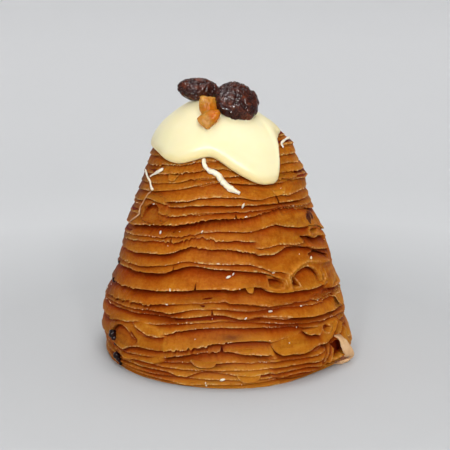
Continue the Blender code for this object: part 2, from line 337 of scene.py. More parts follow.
def coilTables(n):
    # for every turn and angle: the edge's angle, height, hollow, flare, inset, thickness and cracks
    count = len(layers["rows"])
    turn = np.arange(count * n) / n - 0.5
    angle = -90 + 360 * turn
    level = coilValue(turn, 0, 0.2, 0.8)
    space = np.clip((coilValue(turn + 1, 0, 0.2, 0.8) - level) / layers["turnRise"], 0.5, 1.3)
    z = level - sideDrop(turn)
    here = onBell(angle, z)
    calm = smoothStep(level, 0, 5)
    z = z + calm * (0.35 * softNoise(here, (24, 24, 13), 3) + space * tornEdge(here, 200))
    squeeze = patchSum(angle, z, layers["squeezes"])
    z = z + squeeze * layers["squeezeRise"] * softNoise(here, (5.5, 5.5, 1.8), 9)
    flare = 0.16 + 0.26 * softNoise(here, (13, 13, 2.2), 19) + 0.06 * softNoise(here, (3, 3, 1.5), 20)
    z = z + edgeSum(turn, angle, layers["bends"])
    flare = flare + edgeSum(turn, angle, layers["curls"])
    z = z.reshape(count, n)
    z[0] = np.maximum(z[0], 0.06)
    for k in range(1, count):
        z[k] = np.maximum(z[k], z[k - 1] + layers["leastRise"])
    z = z.ravel()
    whole, crack = z, 0 * z
    for layer, middle, rise, half in layers["cracks"]:
        split = smoothStep(1.6 - np.abs(angleFrom(angle, middle)) / half) * (np.abs(turn - layer) < 0.5)
        z, crack = z + rise * split, np.maximum(crack, split)
    hollow = coilValue(turn, 1, 0.3, 0.7)
    hollow = np.clip(hollow * (0.95 + 0.7 * softNoise(here, (15, 15, 3), 17)) + 0.1, 0.3, 3.4)
    hollow = hollow * (1 - 0.35 * np.cos(np.radians(angle)) ** 2)
    inset = 0.36 + 0.20 * softNoise(here, (14, 14, 2.6), 21)
    thick = layers["thickness"] * (1 + 0.35 * softNoise(here, (4, 4, 2), 23))
    return dict(angle=angle, edge=z, whole=whole, hollow=hollow, flare=flare, inset=inset, thick=thick,
                crack=crack)


coil = coilTables(layers["steps"])
for key, step in (("whole", layers["turnRise"]), ("hollow", 0)):    # the same values one turn further up
    tail = coil[key][-layers["steps"]:] + step
    coil[key + "Above"] = np.concatenate([coil[key][layers["steps"]:], tail])


folds = dict(
    # squeezed stretches, each a sheet of its own: middle and half size (degrees, mm), how much wider to the
    # right, grid, edges (places along each, how far the face steps back below it, over what height),
    # pits (outline, depth), ribs (places along each, height, half width; a slit where negative)
    right=dict(
        middle=(-42, 36.6), half=(33, 13.2), spread=1.33, grid=(300, 150),
        edges=((((-76, 40.9), (-70, 41.0), (-58, 41.4), (-52, 41.2), (-47, 40.9), (-38, 41.1)), 0.7, 0.7),
               (((-77, 39.9), (-70, 39.2), (-64, 39.0), (-59, 39.6), (-55, 40.4), (-48, 40.4), (-38, 39.3),
                 (-30, 37.9), (-18, 36.3), (-8, 35.4)), 1.7, 1.7),
               (((-80, 45.4), (-75, 46.0), (-68, 46.6), (-62, 47.2), (-58, 47.3), (-54, 46.8), (-50, 46.2),
                 (-45, 45.8), (-39, 45.2), (-32, 45.1), (-23, 44.6), (-14, 43.4), (-6, 41.4), (3, 40.9)),
                 1.2, 0.7),
               (((-41, 43.0), (-37, 42.8), (-33, 42.1), (-29, 41.1), (-24, 41.2), (-18, 40.6), (-10, 39.9)),
                 2.4, 1.5),
               (((-38, 37.2), (-33, 37.6), (-27, 36.9), (-21, 35.4), (-14, 34.0)), 2.2, 1.1),
               (((-54.5, 30.2), (-53, 32.0), (-50, 33.3), (-46, 33.9), (-41, 33.5), (-37.5, 32.0),
                 (-35.5, 30.0), (-34.5, 28.4)), 1.9, 1.7),
               (((-78, 36.4), (-70, 35.3), (-66, 34.3), (-60, 33.7), (-57, 33.0)), 0.7, 0.7),
               (((-78, 34.9), (-71, 34.1), (-65, 32.9), (-61, 31.6)), 1.6, 1.4),
               (((-78, 29.9), (-70, 28.9), (-62, 27.8), (-54, 27.3), (-44, 27.0), (-30, 26.7)), 2.0, 2.0)),
        pits=((((-31, 43.7), (-24, 43.7), (-18, 42.8), (-25, 42.1), (-31, 42.5)), 2.0),
              (((-55.3, 31.6), (-53, 31.5), (-51, 29.9), (-50, 28.0), (-54.5, 28.2)), 2.4),
              (((-68.5, 32.1), (-65, 31.9), (-61, 31.2), (-59.6, 30.2), (-60.5, 29.1), (-65, 29.0),
                (-68.3, 29.8)), 1.9),
              (((-33.5, 29.9), (-30, 29.8), (-30, 28.1), (-33, 27.8)), 1.2)),
        ribs=((((-34, 42.3), (-34, 43.6), (-30, 44.3), (-24, 44.3), (-17, 43.5), (-14, 42.4)), 0.7, 0.35),
              (((-55, 32.8), (-51, 34.2), (-47, 35.0), (-42, 35.2), (-34, 34.2), (-26, 33.2), (-17, 32.4)),
                0.9, 0.65),
              (((-55.5, 33.2), (-57, 31.8), (-56.7, 30.2), (-56.5, 28.6)), 0.9, 0.6),
              (((-68, 32.7), (-62, 32.4), (-58.6, 31.2), (-58.2, 29.6)), 0.5, 0.4),
              (((-35.6, 31.6), (-34.6, 30.0), (-34.8, 28.2)), 0.7, 0.35),
              (((-28.4, 31.0), (-28.6, 29.4), (-29, 27.8)), 0.6, 0.35))),
    corner=dict(
        middle=(-46, 8.4), half=(28, 7.6), spread=1, grid=(270, 100),
        edges=((((-71, 13.9), (-69.5, 11.6), (-67, 10.2), (-62, 9.7), (-55, 9.4), (-50, 10.1), (-46, 10.4),
                 (-41, 10.0), (-36, 10.3), (-30, 11.0)), 1.6, 1.4),
               (((-57, 15.8), (-54.5, 16.0), (-53, 15.0), (-51, 14.2), (-48, 13.9), (-44, 13.6),
                 (-42.5, 14.8)), 1.8, 1.1),
               (((-74, 9.0), (-64, 9.2), (-54, 9.0), (-48, 9.1), (-43, 9.8)), 0.5, 0.5),
               (((-74, 8.1), (-62, 8.1), (-54, 7.6), (-48, 7.5), (-44.5, 8.0), (-42, 8.9), (-39.5, 9.7)),
                 0.9, 0.7),
               (((-74, 6.4), (-60, 6.4), (-54, 6.0), (-49, 5.4), (-46, 5.5), (-44, 6.4), (-42, 7.8),
                 (-39.5, 9.2)), 1.1, 0.7),
               (((-74, 4.6), (-60, 4.8), (-54, 4.6), (-49, 3.8), (-45.5, 3.6), (-43.6, 4.4), (-42, 6.0),
                 (-40, 7.7), (-38, 9.0)), 1.1, 0.6),
               (((-74, 3.0), (-56, 3.0), (-52, 2.5), (-46, 2.2), (-43, 2.5), (-41.4, 3.6), (-40.2, 5.4),
                 (-38.8, 7.2), (-37.4, 8.6)), 1.1, 0.6)),
        pits=((((-37, 8.9), (-33, 9.4), (-27, 8.6), (-23, 4.1), (-35.5, 3.9), (-38.4, 4.6), (-37.6, 6.6)),
                2.4),
              (((-42, 15.1), (-38, 15.2), (-35.5, 13.8), (-38, 12.7), (-42, 13.4)), 1.4)),
        ribs=((((-37.6, 8.9), (-38.9, 6.6), (-39.8, 4.2)), 0.9, 0.42),
              (((-41.2, 3.4), (-40.6, 5.4), (-39.2, 7.2), (-37.2, 9.0)), -2.2, 0.42),
              (((-44.6, 4.2), (-43.2, 6.2), (-41, 8.2), (-38.6, 9.6)), -2.2, 0.40),
              (((-43, 9.3), (-40, 9.75), (-37, 9.95), (-34.5, 10.1)), -2.2, 0.42),
              (((-41.5, 3.5), (-34, 3.7), (-28, 3.5)), 1.0, 0.38),
              (((-42, 2.8), (-35, 2.95), (-28, 2.8)), -2.2, 0.42),
              (((-41, 2.1), (-33, 2.2), (-27, 2.0)), 0.9, 0.36),
              (((-44, 1.4), (-33, 1.5), (-27, 1.3)), -2.2, 0.38),
              (((-44, 0.7), (-32, 0.9), (-25, 0.8)), 0.8, 0.35),
              (((-35.4, 11.7), (-32.4, 13.3), (-29, 14.7)), 0.8, 0.45),
              (((-34, 11.2), (-30.5, 12.4), (-26.2, 13.6)), -2.4, 0.70),
              (((-31.5, 10.7), (-27.5, 11.7), (-24, 13.2)), 0.8, 0.42),
              (((-29, 9.9), (-25, 11.0), (-21, 12.2)), -2.2, 0.42))),
    left=dict(
        middle=(-136, 11.4), half=(20, 7.2), spread=1, grid=(200, 96),
        edges=((((-151, 11.6), (-149.5, 13.1), (-147, 14.4), (-143.5, 15.5), (-140, 15.4), (-137, 14.4),
                 (-134.8, 13.0), (-132, 12.0)), 1.6, 1.2),
               (((-135, 16.7), (-130, 15.9), (-126, 14.9), (-121, 14.7), (-116, 15.1)), 1.2, 1.0),
               (((-162, 13.4), (-154, 14.9), (-148, 16.2), (-144, 16.8), (-138, 17.1), (-132, 17.9)), 0.7,
                 0.8),
               (((-134, 15.9), (-132, 15.1), (-126, 14.0), (-122, 13.9)), 0.5, 0.5),
               (((-154, 11.0), (-150, 9.2), (-144, 8.3), (-139.5, 8.2), (-137, 9.2), (-132, 10.0),
                 (-126, 10.4), (-117, 10.9)), 1.4, 1.1),
               (((-152, 8.2), (-148, 7.4), (-144, 6.9), (-138, 7.3), (-134, 7.6), (-128, 8.0), (-122, 8.5)),
                 0.8, 0.6),
               (((-152, 6.4), (-146, 5.9), (-141, 5.3), (-138, 4.7), (-134, 5.7), (-128, 6.1), (-120, 6.4)),
                 1.1, 0.8)),
        pits=(),
        ribs=((((-135.4, 13.9), (-133.6, 13.0), (-131.8, 12.2), (-132.4, 11.2)), -0.8, 0.25),
              (((-139, 5.2), (-141.5, 5.9), (-146, 7.2)), 0.5, 0.4))),
    arch=dict(                                       # a small hollow under an arched leaf, high at the left
        middle=(-139, 50.6), half=(14, 4.2), spread=1, grid=(120, 80),
        edges=((((-153, 53.3), (-146, 53.7), (-139, 53.6), (-132, 53.2), (-125, 52.8)), 0.8, 0.8),
               (((-148.5, 47.8), (-147.2, 50.2), (-144.5, 51.7), (-138.5, 52.4), (-134, 52.1),
                 (-131.4, 50.8), (-130, 48.4)), 1.7, 2.0),
               (((-131.5, 50.4), (-128, 50.0), (-124, 50.2)), 0.8, 0.7)),
        pits=(), ribs=()),
)


def foldShare(spec, angle, z):
    # 0 in the middle of a folded stretch, 1 at its border: (angle / half)^4 + (height / half)^4; where
    # spread is over 1, its right half is that much wider and goes by the third power: a slower border
    (middle, height), (halfAngle, halfHeight) = spec["middle"], spec["half"]
    away = angleFrom(angle, middle) / halfAngle
    across = np.where((away > 0) & (spec["spread"] > 1), np.abs(away / spec["spread"]) ** 3, away ** 4)
    share = across + ((z - height) / halfHeight) ** 4
    return share + 0.20 * softNoise(around(angle, 35.0, z), (4, 4, 2.5), 71)


def foldRoom(angle, z):
    # the coil makes room under the folded stretches
    share = np.min([foldShare(spec, angle, z) for spec in folds.values()], axis=0)
    return 3.0 * (1 - smoothStep(share, 0.55, 0.88))


def pocketDepth(angle, z):
    # the deepest pocket at a place: depth inside |u|^2.6 + |v|^2.6 < 1, rising over its rim
    total = 0 * z
    for middle, height, halfAngle, halfHeight, depth in layers["pockets"]:
        reach = np.abs(angleFrom(angle, middle) / halfAngle) ** 2.6
        reach = reach + np.abs((z - height) / halfHeight) ** 2.6
        total = np.maximum(total, depth * smoothStep((1.7 - reach) / 1.3))
    return total


def faceRadius(angle, z, below, hollow, inset):
    # the outer face: the bell less its inset, set back under the edge above and coming out below it as
    # hollow * (0.55 exp(-(below / (0.7 + 0.35 hollow))^1.5) + 0.45 exp(-(below / 2.2)^1.3)), tucked in
    # behind that edge, then pockets, slow dents and, at the lower right, slanting creases
    drop = np.maximum(below, 0)
    back = 0.55 * np.exp(-(drop / (0.7 + 0.35 * hollow)) ** 1.5) + 0.45 * np.exp(-(drop / 2.2) ** 1.3)
    back = hollow * back + 1.6 * np.clip(-below / layers["tuck"], 0, 1)
    back = np.maximum(back, pocketDepth(angle, z))
    radius = bellRadius(angle, z) - inset - back
    spot = around(angle, radius, z)
    crumple = 0.11 + 0.12 * smoothStep(z, 50, 62) * smoothStep(74 - z, 0, 4)
    dents = 0.22 * softNoise(spot, (7, 7, 3), 25) + crumple * softNoise(spot, (2, 2, 1.4), 27)
    slanted = spot - spot[..., 2:] * (0, 0.6, 0)
    creases = patchSum(angle, z, layers["creases"]) * softNoise(slanted, (2, 1.5, 10), 29)
    return radius + dents + creases


def coilAt(angle, z):
    # the face that shows at a place: how far below the edge above it lies, the hollow there, how far over
    # its own edge it lies, and its radius
    n = layers["steps"]
    column = np.round((angle + 270) / 360 * n).astype(int) % n
    edges = coil["edge"].reshape(-1, n)[:, column]
    k = np.clip((edges <= z).sum(0) - 1, 0, len(edges) - 1)
    spot = k * n + column
    below, hollow = coil["wholeAbove"][spot] - z, coil["hollowAbove"][spot]
    own = np.take_along_axis(edges, k[None], 0)[0]
    return below, hollow, z - own, faceRadius(angle, z, below, hollow, coil["inset"][spot])


def skinRadius(angle, z):
    # radius of the outer skin: the coil's faces, or the sheet of a folded stretch
    return np.where(foldRoom(angle, z) > 0.5, bellRadius(angle, z) - 0.3, coilAt(angle, z)[3])


def stripPieces(name, points, perPiece, attributes):
    # a long coiled strip cut behind the bell into pieces of a few turns
    n = layers["steps"]
    made = []
    for part, first in enumerate(range(0, len(points), perPiece * n)):
        rows = slice(first, first + perPiece * n + 1)
        block = points[rows]
        values = {key: value[rows] for key, value in attributes.items()}
        values["toast"] = toastAndShadeAt(block)
        made.append(addMesh(f"{name}_{part + 1}", block, tubeFaces(len(block), block.shape[1]), 50, values))
    return made


paint = dict(
    lip=0.3, glow=1.5,                               # how far pale lips and golden edges, partly painted light, run up a face, in mm
    footGlow=2.4,                                    # how much more golden the foot is painted, partly as painted light
)


def footGlow(z):
    # footGlow * exp(-((z - 5) / 9)^2): the foot of the bell is painted more golden, partly as painted light
    return paint["footGlow"] * bump(z - 5, 9)


def hollowShade(drop, hollow):
    # painted shade: how dark a face is painted a given way below the edge above it
    reach = 0.25 + 0.80 * hollow
    return np.minimum(1, 0.3 + hollow / 2) * np.exp(-(np.maximum(drop, 0) / reach) ** 1.1)


def makeLayers():
    # the coil is a strip of dough whose section is a thin wedge: outer face, edge, underside and root
    edge, above, hollow, hollowAbove, thick = (coil[key][:, None] for key in (
        "edge", "wholeAbove", "hollow", "hollowAbove", "thick"))
    drops = np.array([-layers["tuck"], -0.2, 0.15, 0.5, 1.0, 1.7]) * np.clip((above - edge) / 3.2, 0.12, 1)
    z = above - drops
    z = np.concatenate([z, z[:, -1:] + (edge - z[:, -1:]) * np.array([0.35, 0.65, 0.86, 0.96, 1.0])], 1)
    z = np.minimum(z, bellHeight - 1.2 - 0.05 * np.arange(z.shape[1], 0, -1))
    wide = coil["angle"][:, None] + 0 * z
    below = above - z
    radius = faceRadius(wide, z, below, hollowAbove, coil["inset"][:, None]) - foldRoom(wide, z)
    run = 1.2 + 0.2 * np.clip(above - edge, 0, 6)
    flare = np.clip(coil["flare"][:, None], -0.3, 0.9)
    radius = radius + flare * np.clip((edge + run - z) / run, 0, 1) ** 2
    lipR, lipZ = radius[:, -1:], z[:, -1:]
    rimR = np.concatenate([lipR - 0.10, lipR - thick, lipR - thick - 0.35 * hollow,
                           lipR - thick - 1.0 * hollow, radius[:, :1] - 1.5], 1)
    rimZ = np.concatenate([lipZ - 0.06, lipZ - 0.02, lipZ + 0.5, lipZ + 1.1, z[:, :1]], 1)
    r = np.maximum(np.concatenate([radius, rimR], 1), 0.3)
    h = np.maximum(np.concatenate([z, rimZ], 1), 0.02)
    points = around(coil["angle"][:, None] + 0 * h, r, h)
    whole = 1 - coil["crack"][:, None]
    over = np.maximum(z - edge, 0)
    lip = extended(bump(over, paint["lip"]), [1, 0.9, 0.2, 0, 0])
    glow = extended(np.exp(-over / paint["glow"]), [1, 1, 0.5, 0, 0]) + footGlow(h)
    # depth is painted shade: under the edge above, in the pockets, on the underside and root, and in the
    # cracks
    depth = np.maximum(hollowShade(below, hollowAbove), 0.15 * pocketDepth(wide, z))
    depth = extended(depth * (1 - 0.35 * smoothStep(z, 48, 62)), [0, 0.15, 0.8, 1, 1])
    lip, glow, depth = lip * whole, glow * whole, np.maximum(depth, 0.9 * (1 - whole) * (lip > 0.3))
    return stripPieces("dough_turns", points, 7, dict(lip=lip, glow=glow, depth=depth))


plies = dict(
    behind=0.06, reach=0.8,                          # gap to the layer in front, and how far it hangs, in mm
    shownFrom=-0.1, shownTo=0.8, seed=101,           # the slow noise that lets it show
)


def makePlies():
    # a thin ply tucked behind each edge; where its own edge hangs lower, it shows as a second one
    behind, reach, seed = plies["behind"], plies["reach"], plies["seed"]
    angle, edge, hollow, flare, inset, thick, above, hollowAbove = (coil[key] for key in (
        "angle", "edge", "hollow", "flare", "inset", "thick", "wholeAbove", "hollowAbove"))
    here = onBell(angle, edge)
    shown = smoothStep(softNoise(here, (13, 13, 2.0), seed), plies["shownFrom"], plies["shownTo"])
    reach = reach * np.minimum(1, 0.35 + 0.5 * hollow) * smoothStep(edge, 2, 22)
    lower = edge + 0.7 - (0.7 + reach) * shown + 0.5 * tornEdge(here, seed + 3)
    lower = np.maximum(lower, 0.05)[:, None]
    top = edge[:, None] + 0.8
    share = np.array([0, 0.55, 1.0])
    z = np.minimum(top + (lower - top) * share, bellHeight - 2)
    inner = behind + 0.9 * thick + 0.10 * softNoise(here, (5, 5, 2), seed + 1)
    wide = angle[:, None] + 0 * z
    cover = np.maximum(z, edge[:, None])
    radius = faceRadius(wide, cover, above[:, None] - cover, hollowAbove[:, None], inset[:, None])
    radius = radius - foldRoom(wide, cover)
    radius = radius + bellRadius(wide, z) - bellRadius(wide, cover)
    radius = radius - inner[:, None] + 0.9 * np.minimum(flare, 0.6)[:, None] * share ** 2
    lipR, lipZ, thin = radius[:, -1:], z[:, -1:], 0.7 * thick[:, None]
    r = np.concatenate([radius, lipR - 0.07, lipR - thin, radius[:, :1] - 0.5], 1)
    h = np.maximum(np.concatenate([z, lipZ - 0.04, lipZ - 0.02, z[:, :1]], 1), 0.02)
    points = around(angle[:, None] + 0 * h, np.maximum(r, 0.3), h)
    over = np.maximum(z - lower, 0)
    lip = extended(0.8 * np.exp(-over / 0.2), [0.8, 0.7, 0])
    # depth is painted shade under the main edge and on the ply's underside and root
    depth = extended(0.6 * hollowShade(edge[:, None] - z, 0.5 * hollow[:, None]), [0, 0.2, 1])
    glow = extended(0.8 * np.exp(-over / 0.8), [1, 1, 0])
    return stripPieces("dough_plies", points, 16, dict(lip=lip, glow=glow, depth=depth))


def pathDistance(x, y, path, closed):
    # distance to a broken line, and for a closed one whether a place lies inside it
    ends = np.roll(path, -1, axis=0) if closed else path[1:]
    starts = path if closed else path[:-1]
    nearest, inside = np.full(x.shape, np.inf), np.zeros(x.shape, bool)
    for (ax, ay), (bx, by) in zip(starts, ends):
        t = np.clip(((x - ax) * (bx - ax) + (y - ay) * (by - ay)) / ((bx - ax) ** 2 + (by - ay) ** 2), 0, 1)
        nearest = np.minimum(nearest, np.hypot(x - ax - t * (bx - ax), y - ay - t * (by - ay)))
        crosses = ((ay > y) != (by > y)) & (x < ax + (y - ay) * (bx - ax) / (by - ay if by != ay else 1))
        inside ^= crosses
    return nearest, inside & closed


def foldFace(spec, angle, z):
    # how far a folded stretch stands out of the bell: a slow noise, less a step under each edge and a hollow
    # in each pit, whose walls slope, plus each rib; with it go the three values that colour it, depth being
    # painted shade
    middle, height = (np.array(float(value)) for value in spec["middle"])
    width = float(bellRadius(middle, height)) * math.radians(1)      # length of a degree, in mm
    flat = around(angle, 35.0, z)
    x = angle * width
    y = z + 0.22 * softNoise(flat, (4, 4, 2), 81) + 0.09 * softNoise(flat, (1.3, 1.3, 1), 82)
    y = y + 0.14 * smoothStep(softNoise(flat, (6, 6, 2), 85), 0, 0.5) * softNoise(flat, 0.55, 86)
    out = 0.40 * softNoise(flat, (6, 6, 3), 83) + 0.14 * softNoise(flat, (2, 2, 1.4), 84) - 0.35
    out = out + 0.05 * softNoise(flat, 0.7, 87)
    lip, depth, glow = 0 * x, 0 * x, 1.4 * bump(z - 5, 9)
    for path, step, run in spec["edges"]:
        first, last = path[0][0], path[-1][0]
        line = smoothCurve(np.clip(angle, first, last), path)
        there = smoothStep(angle, first - 2, first + 3) * (1 - smoothStep(angle, last - 3, last + 2))
        above, drop = np.maximum(y - line, 0), np.maximum(line - y, 0)
        below = smoothStep(drop / 0.14)
        back = step * below * np.exp(-(drop / run) ** 1.3)
        out = out + there * (0.45 * bump(above, 1.2) * (1 - below) - back)
        lip = np.maximum(lip, there * bump(above, 0.25) * (1 - below))
        glow = np.maximum(glow, there * np.exp(-above) * (1 - below))
        depth = np.maximum(depth, there * below * hollowShade(drop, 1.3 * step))
    for path, hole in spec["pits"]:
        path = np.array(path) * (width, 1)
        away, inside = pathDistance(x, y, path, True)
        sunk = inside * smoothStep(away / (0.15 + 0.2 * hole))
        out = out - hole * sunk + 0.30 * bump(away, 0.6) * ~inside
        glow = np.maximum(glow, bump(away, 0.4) * ~inside)
        low, high = path[:, 1].min(), path[:, 1].max()
        # shade: each pit is painted darker towards its overhung top
        shade = 0.22 + 0.78 * smoothStep(y, low + 0.1 * (high - low), high - 0.1 * (high - low))
        shade = shade if hole < 2.3 else 1                  # the deepest pits are painted in shade to the bottom
        depth = np.maximum(depth * ~inside, min(1, 0.8 * hole) * sunk * shade)
        lip = np.where(inside, 0, np.maximum(lip, 0.7 * bump(away, 0.22)))
    for path, rise, half in spec["ribs"]:
        away = pathDistance(x, y, np.array(path) * (width, 1), False)[0]
        out = out + rise * bump(away, half)
        if rise > 0:
            lip = np.maximum(lip, 0.5 * bump(away, 0.35 * half))
            glow = np.maximum(glow, bump(away, 0.8 * half))
            depth = depth * (1 - bump(away, half))
        else:
            depth = np.maximum(depth, bump(away, 1.4 * half))
    return out, dict(lip=lip, glow=glow, depth=depth)


def makeFolds(name, spec):
    # a sheet on the folded face in its middle and on the coil's faces towards its border, from where it dips
    # under them; its colours pass over in the same way
    (middle, height), (halfAngle, halfHeight) = spec["middle"], spec["half"]
    u = np.linspace(-1.07, 1.07 * spec["spread"], spec["grid"][0])
    v = np.linspace(-1.07, 1.07, spec["grid"][1])
    angle, z = np.meshgrid(middle + halfAngle * u, height + halfHeight * v, indexing="ij")
    out, colors = foldFace(spec, angle, z)
    below, hollow, over, skin = coilAt(angle, z)
    over = np.maximum(over, 0)
    outer = dict(lip=bump(over, paint["lip"]), glow=np.exp(-over / paint["glow"]) + footGlow(z),
                 depth=hollowShade(below, hollow))
    share = foldShare(spec, angle, z)
    border = smoothStep(share, 0.55, 0.92)
    radius = (bellRadius(angle, z) + out) * (1 - border) + (skin - 0.10) * border
    radius = radius - 2.6 * smoothStep(share, 1.0, 1.25)
    rings, quads = sheetSolid(around(angle, radius, z), 0.25)
    values = bothSides(**{key: value + (outer[key] - value) * border for key, value in colors.items()})
    return addMesh("dough_folds_" + name, rings, quads, 50, {**values, "toast": toastAndShadeAt(rings)})


chips = dict(
    # pale chips on the torn edges: how many are tried, the noise they need, half size in mm
    count=2000, shownFrom=0.2, half=(0.07, 0.17), seed=131,
)


def makeChips():
    # chips sit on the edges where a slow noise is high: small rough lumps at the lip of a layer
    draw = np.random.default_rng(chips["seed"])
    n = layers["steps"]
    spots = draw.integers(2 * n, 27 * n, chips["count"])
    angle, edge = coil["angle"][spots], coil["edge"][spots]
    spots = spots[softNoise(onBell(angle, edge), (9, 9, 2.5), 133) > chips["shownFrom"]]
    angle, edge = coil["angle"][spots], coil["edge"][spots] + 0.06
    radius = faceRadius(angle, edge, coil["wholeAbove"][spots] - edge, coil["hollowAbove"][spots],
                        coil["inset"][spots]) + np.clip(coil["flare"][spots], -0.3, 0.9)
    clear = foldRoom(angle, edge) < 0.1
    centres = around(angle, radius + 0.02, edge)[clear]
    count = len(centres)
    halves = draw.uniform(*chips["half"], (count, 1)) * draw.uniform(0.7, 1.6, (count, 3))
    turns = np.stack([0 * angle[clear], draw.uniform(-60, 60, count), angle[clear] + 90], -1)
    points, faces = blobs(centres, halves, turns, 135, 3, 6)
    return addMesh("edge_chips", points, faces, 0)


flaps = dict(
    # loose leaves: angle, half angle, top, lowest edge, rise to the right, lift, squareness of its left
    # and of its right end
    placed=((-49, 6, 57.5, 55.4, 0.8, 0.4, 5, 3), (-78, 2.2, 30.6, 28.9, -0.6, 0.7, 3, 3),
            (-81, 5, 4.6, 2.6, 0.0, 0.6, 4, 4), (120, 9, 22.5, 18.6, 1.5, 0.7, 7, 4),
            (48, 7, 46.5, 43.4, -1.2, 0.5, 5, 4), (-99.5, 5.5, 9.0, 7.1, 0.2, 0.5, 3, 5),
            (-126, 4, 62.0, 60.0, 0.3, 0.4, 3, 4), (31, 8, 37.6, 34.4, 0.5, 0.5, 4, 5),
            (-18, 6, 21.8, 18.6, -0.4, 0.5, 4, 3)),
    thickness=0.22,
)


def flapGrid(spec, seed):
    # a leaf whose top is buried; share v runs down to a torn lower edge that rises to the top at its ends
    # as |u|^squareness, and it stands off the bell by lift * v^2
    middle, half, top, bottom, tilt, lift, squareLeft, squareRight = spec
    u, v = np.meshgrid(np.linspace(-1, 1, 60), np.linspace(0, 1, 10), indexing="ij")
    angle = middle + half * u
    place = around(angle[:, 0], 40 + 0 * angle[:, 0], 0 * angle[:, 0] + bottom)
    torn = 0.15 * softNoise(place, (4, 4, 3), seed) + 0.06 * softNoise(place, (0.8, 0.8, 0.8), seed + 1)
    lower = bottom + 0.5 * tilt * (1 + u[:, 0]) + torn
    ends = np.abs(u) ** np.where(u < 0, squareLeft, squareRight)
    lower = lower + (top - lower) * ends[:, 0]
    z = top + (lower[:, None] - top) * v
    out = lift * v ** 2 * (1 - ends)
    radius = bellRadius(angle, z) - 1.0 + 0.8 * smoothStep(v, 0, 0.5) + out - 0.5 * ends * (u > 0)
    radius = radius + 0.08 * softNoise(around(angle, radius, z), (2.5, 2.5, 2), seed + 2)
    return around(angle, radius, z), v, lower[:, None] - z


def makeFlaps():
    # the loose leaves as one mesh of thin closed sheets
    parts, rows = [], []
    for number, spec in enumerate(flaps["placed"]):
        grid, v, drop = flapGrid(spec, 300 + 5 * number)
        rings, quads = sheetSolid(grid, flaps["thickness"])
        # depth is painted shade where the leaf goes in under the dough above
        values = bothSides(lip=np.exp(drop / 0.2), glow=0.4 + 0.6 * np.exp(drop / 2.5),
                           depth=0.5 * np.clip(1 - v / 0.25, 0, 1))
        rows.append({**values, "toast": toastAndShadeAt(rings)})
        parts.append((rings.reshape(-1, 3), quads))
    values = {key: np.concatenate([row[key].ravel() for row in rows]) for key in rows[0]}
    return addMesh("dough_flakes", *joined(parts), 50, values)


toast = dict(
    # darker places: angle, height, half angle, half height, amount
    spots=((-172, 56, 12, 9, 0.5), (-175, 28, 14, 5, 0.55), (-170, 22, 12, 3, 0.4), (-178, 40, 10, 6, 0.3),
           (-88, 16, 5, 0.8, 0.6), (-150, 10, 25, 8, 0.15)),
    clouds=0.18, left=0.28,                          # slow clouds everywhere, and the left of the bell, partly painted shade
)


def toastAndShadeAt(points):
    # how dark the bake is at points in mm: the spots, slow clouds, and the darker left of the bell, partly
    # bake and partly painted shade
    z = points[..., 2]
    angle = np.degrees(np.arctan2(points[..., 1], points[..., 0] - axisX(z)))
    total = toast["clouds"] * smoothStep(softNoise(points, (14, 14, 7), 31), 0.1, 0.9)
    total = total + toast["left"] * smoothStep(-np.cos(np.radians(angle)), 0.5, 1.0)
    return np.clip(total + patchSum(angle, z, toast["spots"]), 0, 1)


core = dict(
    sides=180, inset=3.6, crownInset=0.7,            # how far inside the bell, and at its crown
    heights=(1.2, 4, 8, 14, 22, 32, 42, 52, 60, 66, 70, 73.5, 76, 77.6, 78.3),
    footRadius=38.0, footShares=(0.03, 0.2, 0.4, 0.55, 0.68, 0.8, 0.9, 0.96),
)


def makeCore():
    # the inside, painted as full shade since it shows only through the gaps: the bell a few millimetres
    # smaller, closed by a nearly flat coiled foot
    angles = np.linspace(-180, 180, core["sides"], endpoint=False)
    rings = []
    for share in core["footShares"]:
        swirl = 0.35 + 0.2 * np.cos(np.radians(angles) + 50 * share)
        rings.append(around(angles, share * core["footRadius"] + 0 * angles, swirl))
    for z in core["heights"]:
        inset = core["inset"] + (core["crownInset"] - core["inset"]) * smoothStep(z, 66, 76)
        rings.append(onBell(angles, z + 0 * angles, -inset))
    points = np.array(rings)
    steps, sides = points.shape[:2]
    points = np.concatenate([points.reshape(-1, 3), [[axisX(0), 0, 0.4], [axisX(78.5), 0, 78.6]]])
    none = np.zeros(len(points))
    return addMesh("dough_core", points, domeFaces(steps, sides), 60,
                   dict(lip=none, glow=none, depth=none + 1, toast=none + 0.4))


cream = dict(
    # lower edge: angle, height
    edge=((-168, 68.8), (-147, 67.6), (-135, 66.0), (-120, 65.4), (-109, 66.6), (-101, 67.5),
          (-95, 67.3), (-90, 66.1), (-82, 63.7), (-74, 61.5), (-66, 59.7), (-58, 59.2),
          (-51.5, 60.0), (-48.5, 62.2), (-46, 65.2), (-43, 67.8), (-38, 70.4), (-29, 72.2), (-14, 73.2),
          (5, 73.8), (22, 73.6), (40, 70.4), (60, 65.2), (80, 64.8), (100, 69.4), (120, 68.4),
          (140, 66.4), (160, 68.0)),
    rim=1.7, crown=5.0, crownRadius=13.0,            # thickness near the edge and on top, and its reach
    rounding=1.5, gap=0.3,                           # radius of the edge, and the gap to the dough
    thin=((190, 42), (0, 26)), thinShare=0.86,       # where it runs thin (angle, half angle), and how thin
    fullAngle=-14, fullHalf=34, full=0.8,            # where it lies thicker over the right shoulder
    slant=1.25,                                      # length along the skin for a millimetre of height
    sides=320, rows=90,
)


def creamEdge(angle):
    # height of the cream's edge: a smooth curve through its knots, repeated once each way round
    knots = [(a + turn, h) for turn in (-360, 0, 360) for a, h in cream["edge"]]
    return smoothCurve(angle, knots)


